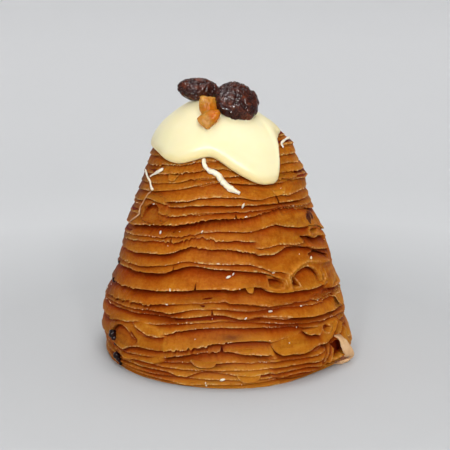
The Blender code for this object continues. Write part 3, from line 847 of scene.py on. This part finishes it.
def creamPoint(angle, t, raised):
    # the bell's skin at share t from its top (0) to the cream's edge (1), height = top - drop * t^2,
    # moved out along its normal by raised(angle, t, radius, drop) or by a plain number
    edge = creamEdge(angle)
    drop = bellHeight - edge

    def skin(s):
        return onBell(angle, bellHeight - drop * s * s)

    here = skin(t)
    run = skin(np.clip(t + 1e-3, 0, 1)) - skin(np.clip(t - 1e-3, 0, 1))
    a = np.radians(angle)
    out = run[..., 0] * np.cos(a) + run[..., 1] * np.sin(a)
    length = np.hypot(out, run[..., 2])
    up = np.stack([-run[..., 2] / length * np.cos(a), -run[..., 2] / length * np.sin(a), out / length], -1)
    if callable(raised):
        radius = np.hypot(here[..., 0] - axisX(here[..., 2]), here[..., 1])
        raised = raised(angle, t, radius, drop)
    return here + up * (raised + 0 * t)[..., None]


def creamThickness(angle, t, radius, drop):
    # rounded rim sqrt(1 - (1 - d / rounding)^2), a body that is thin at the left and the right and full
    # over the right shoulder, a bead along its edge, and a deeper crown exp(-(radius / crownRadius)^2)
    fromEdge = (1 - t) * drop * cream["slant"]
    rim = np.sqrt(np.clip(1 - (1 - np.clip(fromEdge / cream["rounding"], 0, 1)) ** 2, 0, 1))
    thin = np.max([bump(angleFrom(angle, middle), half) for middle, half in cream["thin"]], axis=0)
    body = cream["rim"] * (1 - cream["thinShare"] * thin * smoothStep(1 - fromEdge / 16))
    full = bump(angleFrom(angle, cream["fullAngle"]), cream["fullHalf"]) * bump(radius - 17, 6)
    body = body + cream["full"] * full
    crown = bump(radius, cream["crownRadius"])
    bead = 0.35 * bump(fromEdge - 1.9, 1.3) * (1 - thin)
    return cream["gap"] + rim * (body + bead + (cream["crown"] - body) * crown)


def makeCream():
    # rings of the cream's underside from its middle outwards, then of its face from the edge back up
    angles = np.linspace(-180, 180, cream["sides"], endpoint=False)
    share = 1 - np.linspace(0, 1, cream["rows"]) ** 1.5
    share = share[:-1] * 0.985 + 0.015
    outer = [creamPoint(angles, t + 0 * angles, creamThickness) for t in share]
    inner = [creamPoint(angles, t + 0 * angles, cream["gap"]) for t in (0.1, 0.3, 0.5, 0.7, 0.85, 0.95)]
    points = np.array(inner + outer)
    steps, sides = points.shape[:2]
    tip = around(np.zeros(1), np.zeros(1), np.full(1, bellHeight))[0]
    wave = 0.20 * softNoise(points, (9, 9, 9), 41) + 0.05 * softNoise(points, (4, 4, 4), 43)
    away = unit(points - (0, 0, 55.0))
    onTop = np.arange(steps) >= len(inner) + 6
    points = points + away * (wave * onTop[:, None])[..., None]
    peak = points[-1].mean(0) + (0, 0, 0.01)
    points = np.concatenate([points.reshape(-1, 3), [tip + (0, 0, cream["gap"]), peak]])
    fromEdge = (1 - share)[:, None] * (bellHeight - creamEdge(angles))[None] * cream["slant"]
    # rim: the cream's underside and the band along its edge are painted warmer and darker, as shade and light
    # bounced from the dough
    rim = np.concatenate([np.ones((len(inner), sides)), bump(fromEdge, 1.1)]).ravel()
    return addMesh("cream_coat", points, domeFaces(steps, sides), 0, dict(rim=np.append(rim, [1, 0])))


raisinGrid, peelGrid = (240, 150), (130, 84)         # sides and levels of a raisin and of a dice of peel
raisins = dict(
    raisin_left=dict(centre=(-8.9, -3.2, 86.8), half=(6.9, 4.3, 3.7), turn=(0, 8, 4), seed=51),
    raisin_right=dict(centre=(3.0, -11.5, 83.4), half=(7.1, 4.2, 6.5), turn=(-28, 24, 6), seed=57),
)
peels = dict(
    # torn dice: centre, seed, direction of the juicy side, flat sides (direction out, distance)
    peel_upper=dict(centre=(-6.2, -13.8, 83.0), seed=61, juicy=(0.6, 0, -0.9),
                    sides=((0.13, -0.1, 0.98, 2.2), (-1, -0.1, 0.1, 2.5), (-0.75, 0.1, -0.6, 3.1),
                           (0.98, -0.1, 0.15, 2.9), (0.1, 0.1, -1, 2.7), (-0.35, -0.95, 0.15, 1.8),
                           (0.5, -0.85, 0.3, 1.9), (0, 1, 0, 2.4))),
    peel_lower=dict(centre=(-5.4, -18.4, 78.4), seed=68, juicy=(0.8, 0, 0.7),
                    sides=((-0.15, -0.2, 0.98, 2.3), (0.75, -0.1, -0.66, 1.8), (-0.70, -0.1, -0.70, 2.6),
                           (-0.6, 0, 0.79, 3.1), (1, 0, 0.1, 3.3), (-0.3, -0.95, 0.3, 1.6),
                           (0.3, -0.95, -0.1, 1.7), (0, 0.9, -0.3, 2.4))),
)


def turned(points, degrees):
    # points turned about X, then Y, then Z
    rx, ry, rz = np.radians(degrees)
    aboutX = np.array([[1, 0, 0], [0, np.cos(rx), -np.sin(rx)], [0, np.sin(rx), np.cos(rx)]])
    aboutY = np.array([[np.cos(ry), 0, np.sin(ry)], [0, 1, 0], [-np.sin(ry), 0, np.cos(ry)]])
    aboutZ = np.array([[np.cos(rz), -np.sin(rz), 0], [np.sin(rz), np.cos(rz), 0], [0, 0, 1]])
    return points @ (aboutZ @ aboutY @ aboutX).T


def makeRaisin(name, spec):
    # an ellipsoid with lumps and nets of creases: along each line of a net it sinks by
    # depth * (1 - |noise|)^power
    ball, faces = ballGrid(*raisinGrid)
    shape = ball * np.array(spec["half"])
    warp = noiseVector(shape, 1.6, spec["seed"])
    crease = (1 - np.abs(softNoise(shape + 0.8 * warp, (1.9, 1.6, 1.4), spec["seed"] + 3))) ** 4
    small = (1 - np.abs(softNoise(shape + 0.5 * warp, (1.1, 0.9, 0.9), spec["seed"] + 4))) ** 3
    lumps = softNoise(shape, 3.4, spec["seed"] + 5) + 0.5 * softNoise(shape, 1.6, spec["seed"] + 6)
    sink = 0.38 * crease + 0.24 * small - 0.26 * lumps - 0.20
    points = shape - ball * sink[:, None]
    points = turned(points, spec["turn"]) + np.array(spec["centre"])
    # crease: the creases are painted darker, as shade
    crease = np.clip(0.8 * crease + 0.5 * small, 0, 1)
    return addMesh(name + "_fruit", points, faces, 0, dict(crease=crease))


def makePeel(name, spec):
    # a soft torn dice: a block of flat sides with rounded edges, r = (sum of (d . n / distance)^5)^(-1/5),
    # with lumps, ragged dents and a juicier side
    ball, faces = ballGrid(*peelGrid)
    sides = np.array(spec["sides"])
    reach = np.maximum(ball @ unit(sides[:, :3]).T / sides[:, 3], 0)
    shape = ball * ((reach ** 5).sum(1) ** (-1 / 5))[:, None]
    swell = 0.40 * softNoise(shape, 2.4, spec["seed"]) + 0.20 * softNoise(shape, 1.1, spec["seed"] + 1)
    swell = swell - 0.32 * (1 - np.abs(softNoise(shape, 1.8, spec["seed"] + 2))) ** 5
    swell = swell + 0.05 * softNoise(shape, 0.5, spec["seed"] + 4) + 0.1
    juice = ball @ unit(np.array(spec["juicy"]))
    juice = smoothStep(juice + 0.35 * softNoise(shape, 1.8, spec["seed"] + 3), 0.0, 0.8)
    points = shape + ball * swell[:, None] + np.array(spec["centre"])
    return addMesh(name + "_dice", points, faces, 0, dict(juice=juice))


threads = dict(
    # strings of icing: points as angle, height and half width, from end to end
    underTheCream=((-103.2, 67.4, 0.60), (-102, 65.6, 0.58), (-99, 64.2, 0.66), (-95, 63.3, 0.74),
                   (-91.8, 62.3, 0.86), (-90, 60.9, 0.84), (-87, 59.4, 0.74), (-83.8, 58.4, 0.88),
                   (-81, 57.8, 0.60), (-78.6, 57.2, 0.50)),
    forkLong=((-167, 61.4, 0.32), (-158, 60.2, 0.40), (-150, 58.9, 0.36), (-143, 56.4, 0.40)),
    forkShort=((-137, 63.4, 0.36), (-141, 62.4, 0.48), (-146, 61.2, 0.34), (-151, 60.0, 0.26)),
    hook=((-9, 71.7, 0.32), (-18, 71.5, 0.38), (-26.5, 71.1, 0.36), (-30.5, 70.3, 0.38),
          (-31.5, 69.2, 0.32)),
    behind=((62, 58.0, 0.30), (66, 55.5, 0.36), (73, 54.2, 0.40), (80, 54.6, 0.30)),
)
splinters = dict(
    # thin pale slivers of dough, given like the strings
    left=((-145, 56.0, 0.16), (-148, 53.8, 0.22), (-150, 52.0, 0.22), (-152, 50.2, 0.28),
          (-151.4, 48.5, 0.26), (-155, 46.8, 0.22), (-162, 44.8, 0.16)),
    rear=((140, 44.0, 0.16), (134, 41.0, 0.26), (130, 37.0, 0.2)),
)


def makeThreads(name, strings, dark=0.0):
    # each string is a tube of 10 sides along a smooth curve through its points, lying on the dough,
    # its width and skin roughened by noise
    parts = []
    kernel = np.hanning(13) / np.hanning(13).sum()
    turn = np.linspace(0, tau, 10, endpoint=False)
    for number, knots in enumerate(strings.values()):
        angle, z, half = alongKnots(knots, 16)
        rough = onBell(angle, z)
        z = z + 0.5 * half * softNoise(rough, 2.2, 405 + number)
        half = half * (1 + 0.24 * softNoise(rough, 1.9, 400 + number) + 0.10 * softNoise(rough, 0.8, 410))
        near = np.stack([skinRadius(angle, z + shift) for shift in (-0.9, -0.45, 0, 0.45, 0.9)]).max(0)
        near = np.convolve(np.pad(near, 6, mode="edge"), kernel, mode="valid")
        centre = around(angle, near + 0.55 * half, z)
        run = unit(np.gradient(centre, axis=0))
        a = np.radians(angle)
        side = unit(np.cross(run, np.stack([np.cos(a), np.sin(a), 0.3 + 0 * a], -1)))
        up = np.cross(side, run)
        ends = np.minimum(np.arange(len(z)), np.arange(len(z))[::-1])
        blunt = np.sqrt(np.clip(1 - (1 - np.clip((ends + 0.3) / 3, 0, 1)) ** 2, 0, 1))
        ring = side[:, None] * np.cos(turn)[:, None] + up[:, None] * (0.8 * np.sin(turn))[:, None]
        tube = centre[:, None] + ring * (half * blunt)[:, None, None]
        tube = tube + 0.22 * (half[:, None] * softNoise(tube, 0.7, 430))[..., None] * ring
        parts.append((tube.reshape(-1, 3), tubeFaces(*tube.shape[:2])))
    points, faces = joined(parts)
    return addMesh(name, points, faces, 50, dict(dark=np.full(len(points), dark)))


crumbs = dict(
    # icing crumbs: angle, height, half length, slant in degrees; and seeded specks over the whole bell
    placed=((-129, 44.5, 0.62, 70), (-102, 46.0, 0.50, 55), (-138, 52.5, 0.45, 20), (-77, 53.5, 0.80, 65),
            (-88, 33.2, 0.80, 25), (-85.5, 33.8, 0.50, 60), (-117, 28.5, 0.50, 90), (-118, 24.2, 0.45, 0),
            (-93, 37.0, 0.45, 0), (-69, 22.7, 0.70, 0), (-81, 21.2, 0.50, 40), (-92, 3.4, 0.8, 20),
            (-52, 22.7, 0.45, 0), (-38, 35.7, 0.65, 80), (-65, 33.7, 0.45, 0), (-76, 50.2, 0.45, 10),
            (-99, 1.6, 0.7, 100), (-84, 2.0, 0.5, 60)),
    specks=60, speckRange=((-180, 180), (2, 62), (0.14, 0.30), (0, 180)), seed=83,
)


def blobs(centres, halves, turns, seed, levels=7, sides=12):
    # small lumps: globes stretched by halves, roughened by noise and turned, joined as one array
    ball, faces = ballGrid(sides, levels)
    parts = []
    for number, (centre, half, turn) in enumerate(zip(centres, halves, turns)):
        rough = 1 + 0.28 * softNoise(ball * 1.7 + number * 3.1, 1.0, seed)
        parts.append((turned(ball * rough[:, None] * half, turn) + centre, faces))
    return joined(parts)


def onSkin(angle, z, lift, reach=0.4):
    # a point lying on the dough at an angle and height, raised by lift over the skin within its reach
    angle, z = np.full(5, float(angle)), z + reach * np.linspace(-1, 1, 5)
    return around(angle, skinRadius(angle, z).max() + lift, z)[2]


def makeCrumbs():
    # stretched globes lying on the dough: the placed ones, then specks at drawn places
    draw = np.random.default_rng(crumbs["seed"])
    rows = list(crumbs["placed"])
    for _ in range(crumbs["specks"]):
        rows.append([draw.uniform(low, high) for low, high in crumbs["speckRange"]])
    centres = [onSkin(angle, z, 0.25 * half) for angle, z, half, slant in rows]
    halves = [np.array((half, 0.5 * half, 0.45 * half)) for angle, z, half, slant in rows]
    turns = [(0, -slant, angle + 90) for angle, z, half, slant in rows]
    points, faces = blobs(centres, halves, turns, 85)
    return addMesh("icing_crumbs", points, faces, 0)


beads = dict(
    # burnt sugar: angle, height, half sizes along, out and up
    placed=((-148, 11.3, 1.5, 1.4, 1.5), (-147.5, 10.0, 1.0, 1.0, 0.9), (-146.3, 8.3, 0.7, 0.6, 0.7),
            (-146, 4.5, 1.3, 1.2, 1.3), (-146, 3.1, 1.0, 0.9, 1.0), (-145.5, 1.9, 0.6, 0.6, 0.9),
            (-165, 25.5, 0.7, 0.5, 0.8), (-167, 31.0, 0.5, 0.4, 0.6)),
)


def makeBeads():
    # glassy drops: stretched globes sunk a little into the dough
    centres = [onSkin(angle, z, 0.45 * out, 0.8 * up) for angle, z, along, out, up in beads["placed"]]
    halves = [np.array((along, out, up)) for angle, z, along, out, up in beads["placed"]]
    turns = [(0, 0, angle + 90) for angle, *_ in beads["placed"]]
    points, faces = blobs(centres, halves, turns, 87, 9)
    return addMesh("sugar_beads", points, faces, 0)


doughEnd = dict(
    # the pale end of the coil, folded over, and the lip under it: the left and the right border of each,
    # as angle, height and how far out of the bell, from its root down and back in
    strips=((((-32.6, 10.3, -1.0), (-32, 9.4, 0.1), (-31.4, 6.9, 0.5), (-30.3, 5.0, 0.9), (-29, 3.8, 1.1),
              (-28.5, 3.2, 0.3), (-28.8, 3.5, -1.2)),
             ((-28, 10.0, -0.9), (-27.4, 9.1, 0.1), (-25.8, 6.9, 0.9), (-24.8, 4.8, 1.7), (-24, 2.9, 2.4),
              (-24.2, 2.1, 1.5), (-24.6, 2.4, -0.2))),
            (((-31, 1.1, -1.2), (-30, 1.0, 0.4), (-29.5, 0.7, 1.1), (-29.5, 0.5, 0.9), (-30.5, 0.4, -0.8)),
             ((-24.6, 1.2, 0.6), (-23.6, 1.0, 2.0), (-23.2, 0.7, 2.4), (-23.4, 0.5, 2.0),
              (-24.2, 0.4, 0.4))),
            (((-24.8, 3.4, 1.0), (-24.6, 2.6, 1.8), (-24.4, 1.4, 1.8), (-24.6, 0.6, 1.2)),
             ((-23.6, 3.4, 1.4), (-22.8, 2.6, 2.3), (-22.6, 1.4, 2.3), (-23.0, 0.6, 1.6))),
            (((-31, 4.0, -0.6), (-30, 3.0, 0.0), (-30, 1.6, 0.0), (-31, 0.8, -0.6)),
             ((-25, 4.0, 0.0), (-24.4, 3.0, 0.9), (-24.4, 1.6, 0.9), (-25, 0.8, 0.0)))),
    dark=(0, 0, 0, 1),                                  # the last strip, the inside of the fold, is painted dark as shade
    thickness=0.8, bulge=0.20,
)


def makeDoughEnd():
    # thick strips stretched between their two borders, bulging by height * sin(pi * share) and wrinkled
    parts, shades = [], []
    share = np.linspace(0, 1, 26)[None, :, None]
    for borders, dark in zip(doughEnd["strips"], doughEnd["dark"]):
        sides = []
        for border in borders:
            angle, z, out = alongKnots(border, 12)
            sides.append(onBell(angle, z, out)[:, None])
        place = sides[0] * (1 - share) + sides[1] * share
        place = place + np.array((0.5, -0.8, 0)) * doughEnd["bulge"] * np.sin(math.pi * share)
        fine = noiseVector(place, (0.55, 0.55, 3.0), 450)
        place = place + 0.22 * noiseVector(place, 1.9, 440) + 0.14 * fine
        edge = np.sqrt(np.clip(1 - np.abs(2 * share[..., 0] - 1) ** 6, 0.04, 1)) + 0 * place[..., 0]
        rings, quads = sheetSolid(place, doughEnd["thickness"] * edge)
        parts.append((rings.reshape(-1, 3), quads))
        shades.append(np.full(rings[..., 0].size, float(dark)))
    return addMesh("dough_end", *joined(parts), 40, dict(dark=np.concatenate(shades)))


def newMaterial(name):
    # a material, its node tree and its shader
    material = bpy.data.materials.new(name)
    material.use_nodes = True
    tree = material.node_tree
    shader = tree.nodes["Principled BSDF"]
    return material, tree, shader


def feed(tree, socket, value):
    # a socket to link from, or a plain value
    if isinstance(value, bpy.types.NodeSocket):
        tree.links.new(value, socket)
    else:
        socket.default_value = value


def addNode(tree, kind, inputs=None, **settings):
    # a node with its settings; each input is a socket to link from or a plain value
    node = tree.nodes.new("ShaderNode" + kind)
    for key, value in settings.items():
        setattr(node, key, value)
    for key, value in (inputs or {}).items():
        feed(tree, node.inputs[key], value)
    return node


def noiseOf(tree, place, scale, detail=3.0, roughness=0.55, distortion=0.0):
    # layered noise, 0 to 1, with so many waves to a metre
    node = addNode(tree, "TexNoise", {"Vector": place, "Scale": scale, "Detail": detail,
                                      "Roughness": roughness, "Distortion": distortion})
    return node.outputs["Fac"]


def rampOf(tree, value, stops):
    # colours along a value, from (place, colour) stops
    node = addNode(tree, "ValToRGB", {"Fac": value})
    while len(node.color_ramp.elements) < len(stops):
        node.color_ramp.elements.new(0.5)
    for element, (place, color) in zip(node.color_ramp.elements, stops):
        element.position = place
        element.color = (*color, 1)
    return node.outputs["Color"]


def mixOf(tree, factor, first, second):
    # first + (second - first) * factor
    node = addNode(tree, "Mix", data_type="RGBA")
    sockets = {socket.identifier: socket for socket in node.inputs}
    for key, value in (("Factor_Float", factor), ("A_Color", first), ("B_Color", second)):
        feed(tree, sockets[key], (*value, 1) if isinstance(value, tuple) else value)
    return next(socket for socket in node.outputs if socket.identifier == "Result_Color")


def rangeOf(tree, value, low, high, toLow=0.0, toHigh=1.0):
    # a straight line from (low, toLow) to (high, toHigh), flat outside
    node = addNode(tree, "MapRange", {"Value": value, "From Min": low, "From Max": high,
                                      "To Min": toLow, "To Max": toHigh})
    return node.outputs["Result"]


def mathOf(tree, kind, first, second):
    return addNode(tree, "Math", {0: first, 1: second}, operation=kind, use_clamp=True).outputs["Value"]


def placeOf(tree, scale=(1, 1, 1)):
    # the place on the piece, in metres, times a scale along x, y and z
    coords = addNode(tree, "TexCoord")
    return addNode(tree, "Mapping", {"Vector": coords.outputs["Object"], "Scale": scale}).outputs["Vector"]


def attributeOf(tree, name):
    return addNode(tree, "Attribute", attribute_name=name).outputs["Fac"]


def finishShader(tree, shader, spec, color, roughness, reliefs):
    # colour, roughness, specular level, light carried under the skin (share, reach in metres of red, green
    # and blue), and bumps laid one over the other (height, strength, distance in metres)
    feed(tree, shader.inputs["Base Color"], color)
    feed(tree, shader.inputs["Roughness"], roughness)
    feed(tree, shader.inputs["Specular IOR Level"], spec["specular"])
    if "under" in spec:
        feed(tree, shader.inputs["Subsurface Weight"], spec["under"][0])
        feed(tree, shader.inputs["Subsurface Radius"], spec["under"][1])
        feed(tree, shader.inputs["Subsurface Scale"], 1.0)
    for height, strength, distance in reliefs:
        relief = addNode(tree, "Bump", {"Height": height, "Strength": strength, "Distance": distance})
        if shader.inputs["Normal"].links:
            feed(tree, relief.inputs["Normal"], shader.inputs["Normal"].links[0].from_socket)
        feed(tree, shader.inputs["Normal"], relief.outputs["Normal"])


crust = dict(
    # the first two tones, shadow and the red-brown one after it, are painted shade for the hollows
    shadow=(0.105, 0.0036, 0.0001), redShade=(0.25, 0.023, 0.0003), deep=(0.26, 0.053, 0.0015),
    mid=(0.365, 0.093, 0.0034), gold=(0.52, 0.195, 0.015), pale=(0.80, 0.50, 0.20),
    toast=(0.045, 0.008, 0.006),
    # small burnt spots: angle, height, reach in mm
    burns=((-27, 46.7, 1.7), (-26, 48.0, 1.3), (-23, 48.2, 0.9), (-20.5, 47.3, 1.4)),
    specular=0.02, under=(0.3, (0.0022, 0.0006, 0.0001)),
)


def makeCrustMaterial():
    # clouds of three browns with fine upright streaks, golden towards the free edges (partly painted light),
    # with pale crumbs along them, painted shade in the hollows, red-brown and then nearly black, and dark
    # where it is toasted, which at the left of the bell is partly painted shade
    material, tree, shader = newMaterial("crust")
    flat = placeOf(tree, (1, 1, 2.2))
    plain = placeOf(tree)
    upright = placeOf(tree, (1, 1, 0.14))
    clouds = noiseOf(tree, flat, 150, 5, 0.62, 0.4)
    grain = noiseOf(tree, plain, 800, 4, 0.7)
    streaks = noiseOf(tree, upright, 1300, 2, 0.5)
    color = rampOf(tree, clouds, ((0.30, crust["deep"]), (0.5, crust["mid"]), (0.72, crust["gold"])))
    patches = rangeOf(tree, noiseOf(tree, plain, 70, 2), 0.3, 0.7, 0.15, 0.75)
    # glow: golden and lighter towards the free edges and the foot, partly bake and partly painted light
    color = mixOf(tree, mathOf(tree, "MULTIPLY", attributeOf(tree, "glow"), patches), color, crust["gold"])
    for value, *span, tone in ((streaks, 0.45, 0.75, 0.0, 0.30, "gold"),
                               (grain, 0.50, 0.75, 0.0, 0.50, "gold"),
                               (grain, 0.25, 0.48, 0.60, 0.0, "deep")):
        color = mixOf(tree, rangeOf(tree, value, *span), color, crust[tone])
    crumbly = rangeOf(tree, noiseOf(tree, plain, 150, 2), 0.42, 0.62, 0.15, 1.0)
    teeth = rangeOf(tree, noiseOf(tree, plain, 1200, 1), 0.46, 0.60, 0.10, 1.0)
    lip = mathOf(tree, "MULTIPLY", attributeOf(tree, "lip"), mathOf(tree, "MULTIPLY", crumbly, teeth))
    color = mixOf(tree, lip, color, crust["pale"])
    color = mixOf(tree, attributeOf(tree, "toast"), color, crust["toast"])
    scorch = mathOf(tree, "SUBTRACT", noiseOf(tree, plain, 550, 2), 0.35)
    scorch = mathOf(tree, "MULTIPLY", scorch, 0.0030)
    for angle, height, reach in crust["burns"]:
        place = onSkin(angle, height, 0) * mm
        burn = addNode(tree, "VectorMath", {0: plain, 1: place}, operation="DISTANCE")
        ragged = mathOf(tree, "ADD", burn.outputs["Value"], scorch)
        burnt = rangeOf(tree, ragged, reach * mm, (reach + 0.6) * mm, 0.9, 0.0)
        color = mixOf(tree, burnt, color, crust["toast"])
    # depth is painted shade: under the edges, in hollows, pits, slits and cracks, and over the hidden inside
    depth = attributeOf(tree, "depth")
    for *span, tone in ((0.0, 0.55, 0.0, 0.80, "redShade"), (0.35, 1.0, 0.0, 0.85, "shadow")):
        color = mixOf(tree, rangeOf(tree, depth, *span), color, crust[tone])
    finishShader(tree, shader, crust, color, rangeOf(tree, grain, 0.3, 0.7, 0.42, 0.60), (
        (grain, 0.35, 0.0003), (noiseOf(tree, flat, 420, 4), 0.45, 0.0006), (streaks, 0.25, 0.0003)))
    return material


finishes = dict(
    # clouds: scale, detail and roughness of their noise; tones: place along it and colour; over: an
    # attribute, its share and the colour it brings; gloss: a roughness, or scale and detail of a noise, its
    # range, and the roughness at both ends; relief: scale, detail, strength, distance
    # cream: the rim attribute brings painted shade and light bounced from the dough
    cream=dict(clouds=(90, 2), tones=((0.3, (0.80, 0.705, 0.42)), (0.7, (0.83, 0.74, 0.465))),
               over=("rim", 0.6, (0.90, 0.66, 0.24)), gloss=(300, 2, 0.3, 0.7, 0.30, 0.42), specular=0.28,
               under=(0.35, (0.004, 0.003, 0.0015)), relief=(350, 2, 0.1, 0.0003)),
    # raisin skin: the crease attribute paints shade in the creases
    raisin_skin=dict(clouds=(380, 4, 0.6), over=("crease", 0.8, (0.014, 0.002, 0.001)),
                     tones=((0.32, (0.016, 0.0025, 0.0015)), (0.5, (0.052, 0.010, 0.0045)),
                            (0.72, (0.16, 0.036, 0.014))),
                     gloss=(600, 2, 0.35, 0.65, 0.04, 0.12), specular=0.22, relief=(800, 1, 0.55, 0.0004)),
    candied_peel=dict(clouds=(330, 4, 0.6), over=("juice", 0.95, (0.48, 0.130, 0.0008)),
                      tones=((0.3, (0.38, 0.128, 0.005)), (0.52, (0.46, 0.205, 0.024)),
                             (0.75, (0.54, 0.30, 0.085))),
                      gloss=(700, 3, 0.3, 0.7, 0.12, 0.36), specular=0.14,
                      under=(0.8, (0.002, 0.0011, 0.0003)), relief=(900, 4, 0.6, 0.0004)),
    burnt_sugar=dict(clouds=(500, 3), tones=((0.35, (0.003, 0.001, 0.0015)), (0.7, (0.022, 0.005, 0.004))),
                     gloss=0.12, specular=0.15),
    # pale dough: dark is painted shade inside the fold of the dough end, and the splinters' own darker colour
    pale_dough=dict(clouds=(240, 4, 0.6), over=("dark", 1.0, (0.22, 0.055, 0.006)),
                    tones=((0.3, (0.50, 0.23, 0.08)), (0.5, (0.64, 0.38, 0.18)),
                           (0.75, (0.74, 0.49, 0.27))),
                    gloss=0.6, specular=0.5, relief=(700, 4, 0.4, 0.0004)),
)
finishes["icing"] = {**finishes["cream"], "tones": ((0.3, (0.82, 0.70, 0.48)), (0.7, (0.90, 0.80, 0.60)))}


def makeMaterial(name):
    # clouds of a few tones, a last colour where an attribute says so, a gloss and a fine relief
    spec = finishes[name]
    material, tree, shader = newMaterial(name)
    plain = placeOf(tree)
    color = rampOf(tree, noiseOf(tree, plain, *spec["clouds"]), spec["tones"])
    if "over" in spec:
        attribute, share, tone = spec["over"]
        color = mixOf(tree, mathOf(tree, "MULTIPLY", attributeOf(tree, attribute), share), color, tone)
    gloss = spec["gloss"]
    if isinstance(gloss, tuple):
        gloss = rangeOf(tree, noiseOf(tree, plain, *gloss[:2]), *gloss[2:])
    reliefs = []
    if "relief" in spec:
        scale, detail, strength, distance = spec["relief"]
        reliefs = [(noiseOf(tree, plain, scale, detail), strength, distance)]
    finishShader(tree, shader, spec, color, gloss, reliefs)
    return material


studio = dict(
    cameraAt=(-0.0006, -0.300, 0.106), cameraTo=(-0.0006, 0.0, 0.0417), lens=73.4,
    world=0.25, worldColor=(0.93, 0.96, 1.0, 1),     # a faint cool light from all sides
    # lamps: place, height they aim at, size, power; the glints light no matt surface, they only mirror
    lamps=dict(key=((0.10, -0.63, 0.62), 0.05, 0.25, 2.05), fill=((-0.15, -0.80, 0.14), 0.03, 0.5, 2.4),
               top=((0, 0.15, 0.9), 0.05, 0.7, 3.9), spark_left=((-0.25, -0.60, 0.50), 0.08, 0.06, 0.8),
               spark_right=((0.22, -0.60, 0.40), 0.08, 0.06, 0.8),
               glint_left=((-0.26, -0.55, 0.42), 0.08, 0.05, 5.0),
               glint_right=((0.16, -0.60, 0.36), 0.08, 0.05, 5.0)),
    flatRadius=0.36, bendRadius=0.9,                 # the floor: a flat round that curves up like a bowl
    floorSides=96, floorRings=12,
    # its greys: distance from the middle, colour; darker towards the middle as painted shade, round the
    # object and where the lamps light the floor most
    floorTones=((0.09, (0.53, 0.535, 0.54)), (0.22, (0.70, 0.705, 0.71)), (0.75, (0.86, 0.86, 0.865))),
)


def makeFloor():
    # a bowl turned round the upright axis: a flat round, then a quarter circle up to its rim
    flat, bendRadius, sides, rings = (studio[key] for key in (
        "flatRadius", "bendRadius", "floorSides", "floorRings"))
    bend = np.linspace(0, math.pi / 2, 40)[1:]
    radii = np.concatenate([np.linspace(0.02, 1, rings) * flat, flat + bendRadius * np.sin(bend)])[:, None]
    heights = np.concatenate([np.zeros(rings), bendRadius * (1 - np.cos(bend))])[:, None]
    turn = np.linspace(0, tau, sides, endpoint=False)[None]
    points = np.stack([radii * np.cos(turn), radii * np.sin(turn), heights + 0 * turn], -1).reshape(-1, 3)
    cap = [(len(points), i, (i + 1) % sides) for i in range(sides)]
    mesh = bpy.data.meshes.new("floor")
    mesh.from_pydata(points.tolist() + [(0, 0, 0)], [], cap + wallFaces(len(radii), sides).tolist())
    mesh.flip_normals()
    mesh.shade_smooth()
    floor = bpy.data.objects.new("floor", mesh)
    bpy.context.scene.collection.objects.link(floor)
    material, tree, shader = newMaterial("floor_paper")
    far = addNode(tree, "VectorMath", {0: placeOf(tree, (1, 1, 0))}, operation="LENGTH").outputs["Value"]
    finishShader(tree, shader, dict(specular=0.0), rampOf(tree, far, studio["floorTones"]), 0.9, ())
    mesh.materials.append(material)


def aimed(at, to):
    # rotation that turns -Z from one place towards another
    direction = np.array(to) - np.array(at)
    flat = math.hypot(direction[0], direction[1])
    return math.atan2(flat, -direction[2]), 0, math.atan2(-direction[0], direction[1])


def makeStudio():
    # a pale world, area lamps and the camera
    scene = bpy.context.scene
    world = bpy.data.worlds.new("studio")
    world.use_nodes = True
    background = world.node_tree.nodes["Background"]
    background.inputs["Color"].default_value = studio["worldColor"]
    background.inputs["Strength"].default_value = studio["world"]
    scene.world = world
    for name, (at, height, size, power) in studio["lamps"].items():
        light = bpy.data.lights.new(name, "AREA")
        light.size, light.energy = size, power
        lamp = bpy.data.objects.new(name, light)
        lamp.location, lamp.rotation_euler = at, aimed(at, (0, 0, height))
        lamp.visible_diffuse = not name.startswith("glint")
        scene.collection.objects.link(lamp)
    lens = bpy.data.cameras.new("camera")
    lens.lens, lens.sensor_width = studio["lens"], 36
    lens.clip_start, lens.clip_end = 0.01, 20
    camera = bpy.data.objects.new("camera", lens)
    camera.location = studio["cameraAt"]
    camera.rotation_euler = aimed(studio["cameraAt"], studio["cameraTo"])
    scene.collection.objects.link(camera)
    scene.camera = camera
    scene.view_settings.view_transform = "Standard"


def finishPiece(piece, material, slot, *nodes):
    # gives a piece its material, and tells the frame its body and the nodes it stands for; its slot is not
    # used
    piece.data.materials.clear()
    piece.data.materials.append(material)
    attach(piece, "root")
    if nodes:
        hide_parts(*nodes)


makeStudio()
makeFloor()
crustMaterial = makeCrustMaterial()
dough = makeLayers() + makePlies() + [makeFolds(name, spec) for name, spec in folds.items()]
for piece in dough + [makeFlaps(), makeCore()]:
    finishPiece(piece, crustMaterial, "pastry", "pastry_body")
paleDoughMaterial = makeMaterial("pale_dough")
for piece in (makeDoughEnd(), makeChips(), makeThreads("dough_splinters", splinters, 0.4)):
    finishPiece(piece, paleDoughMaterial, "pastry", "pastry_body")
finishPiece(makeBeads(), makeMaterial("burnt_sugar"), "pastry", "pastry_body")
print("dough made")
finishPiece(makeCream(), makeMaterial("cream"), "cream", "cream_cap")
icingMaterial = makeMaterial("icing")
finishPiece(makeThreads("icing_threads", threads), icingMaterial, "cream", "cream_cap")
finishPiece(makeCrumbs(), icingMaterial, "cream", "cream_cap")
print("cream made")
raisinMaterial = makeMaterial("raisin_skin")
for name, spec in raisins.items():
    finishPiece(makeRaisin(name, spec), raisinMaterial, "raisin", name)
peelMaterial = makeMaterial("candied_peel")
for name, spec in peels.items():
    finishPiece(makePeel(name, spec), peelMaterial, "candied_peel", name)
print("fruit made")
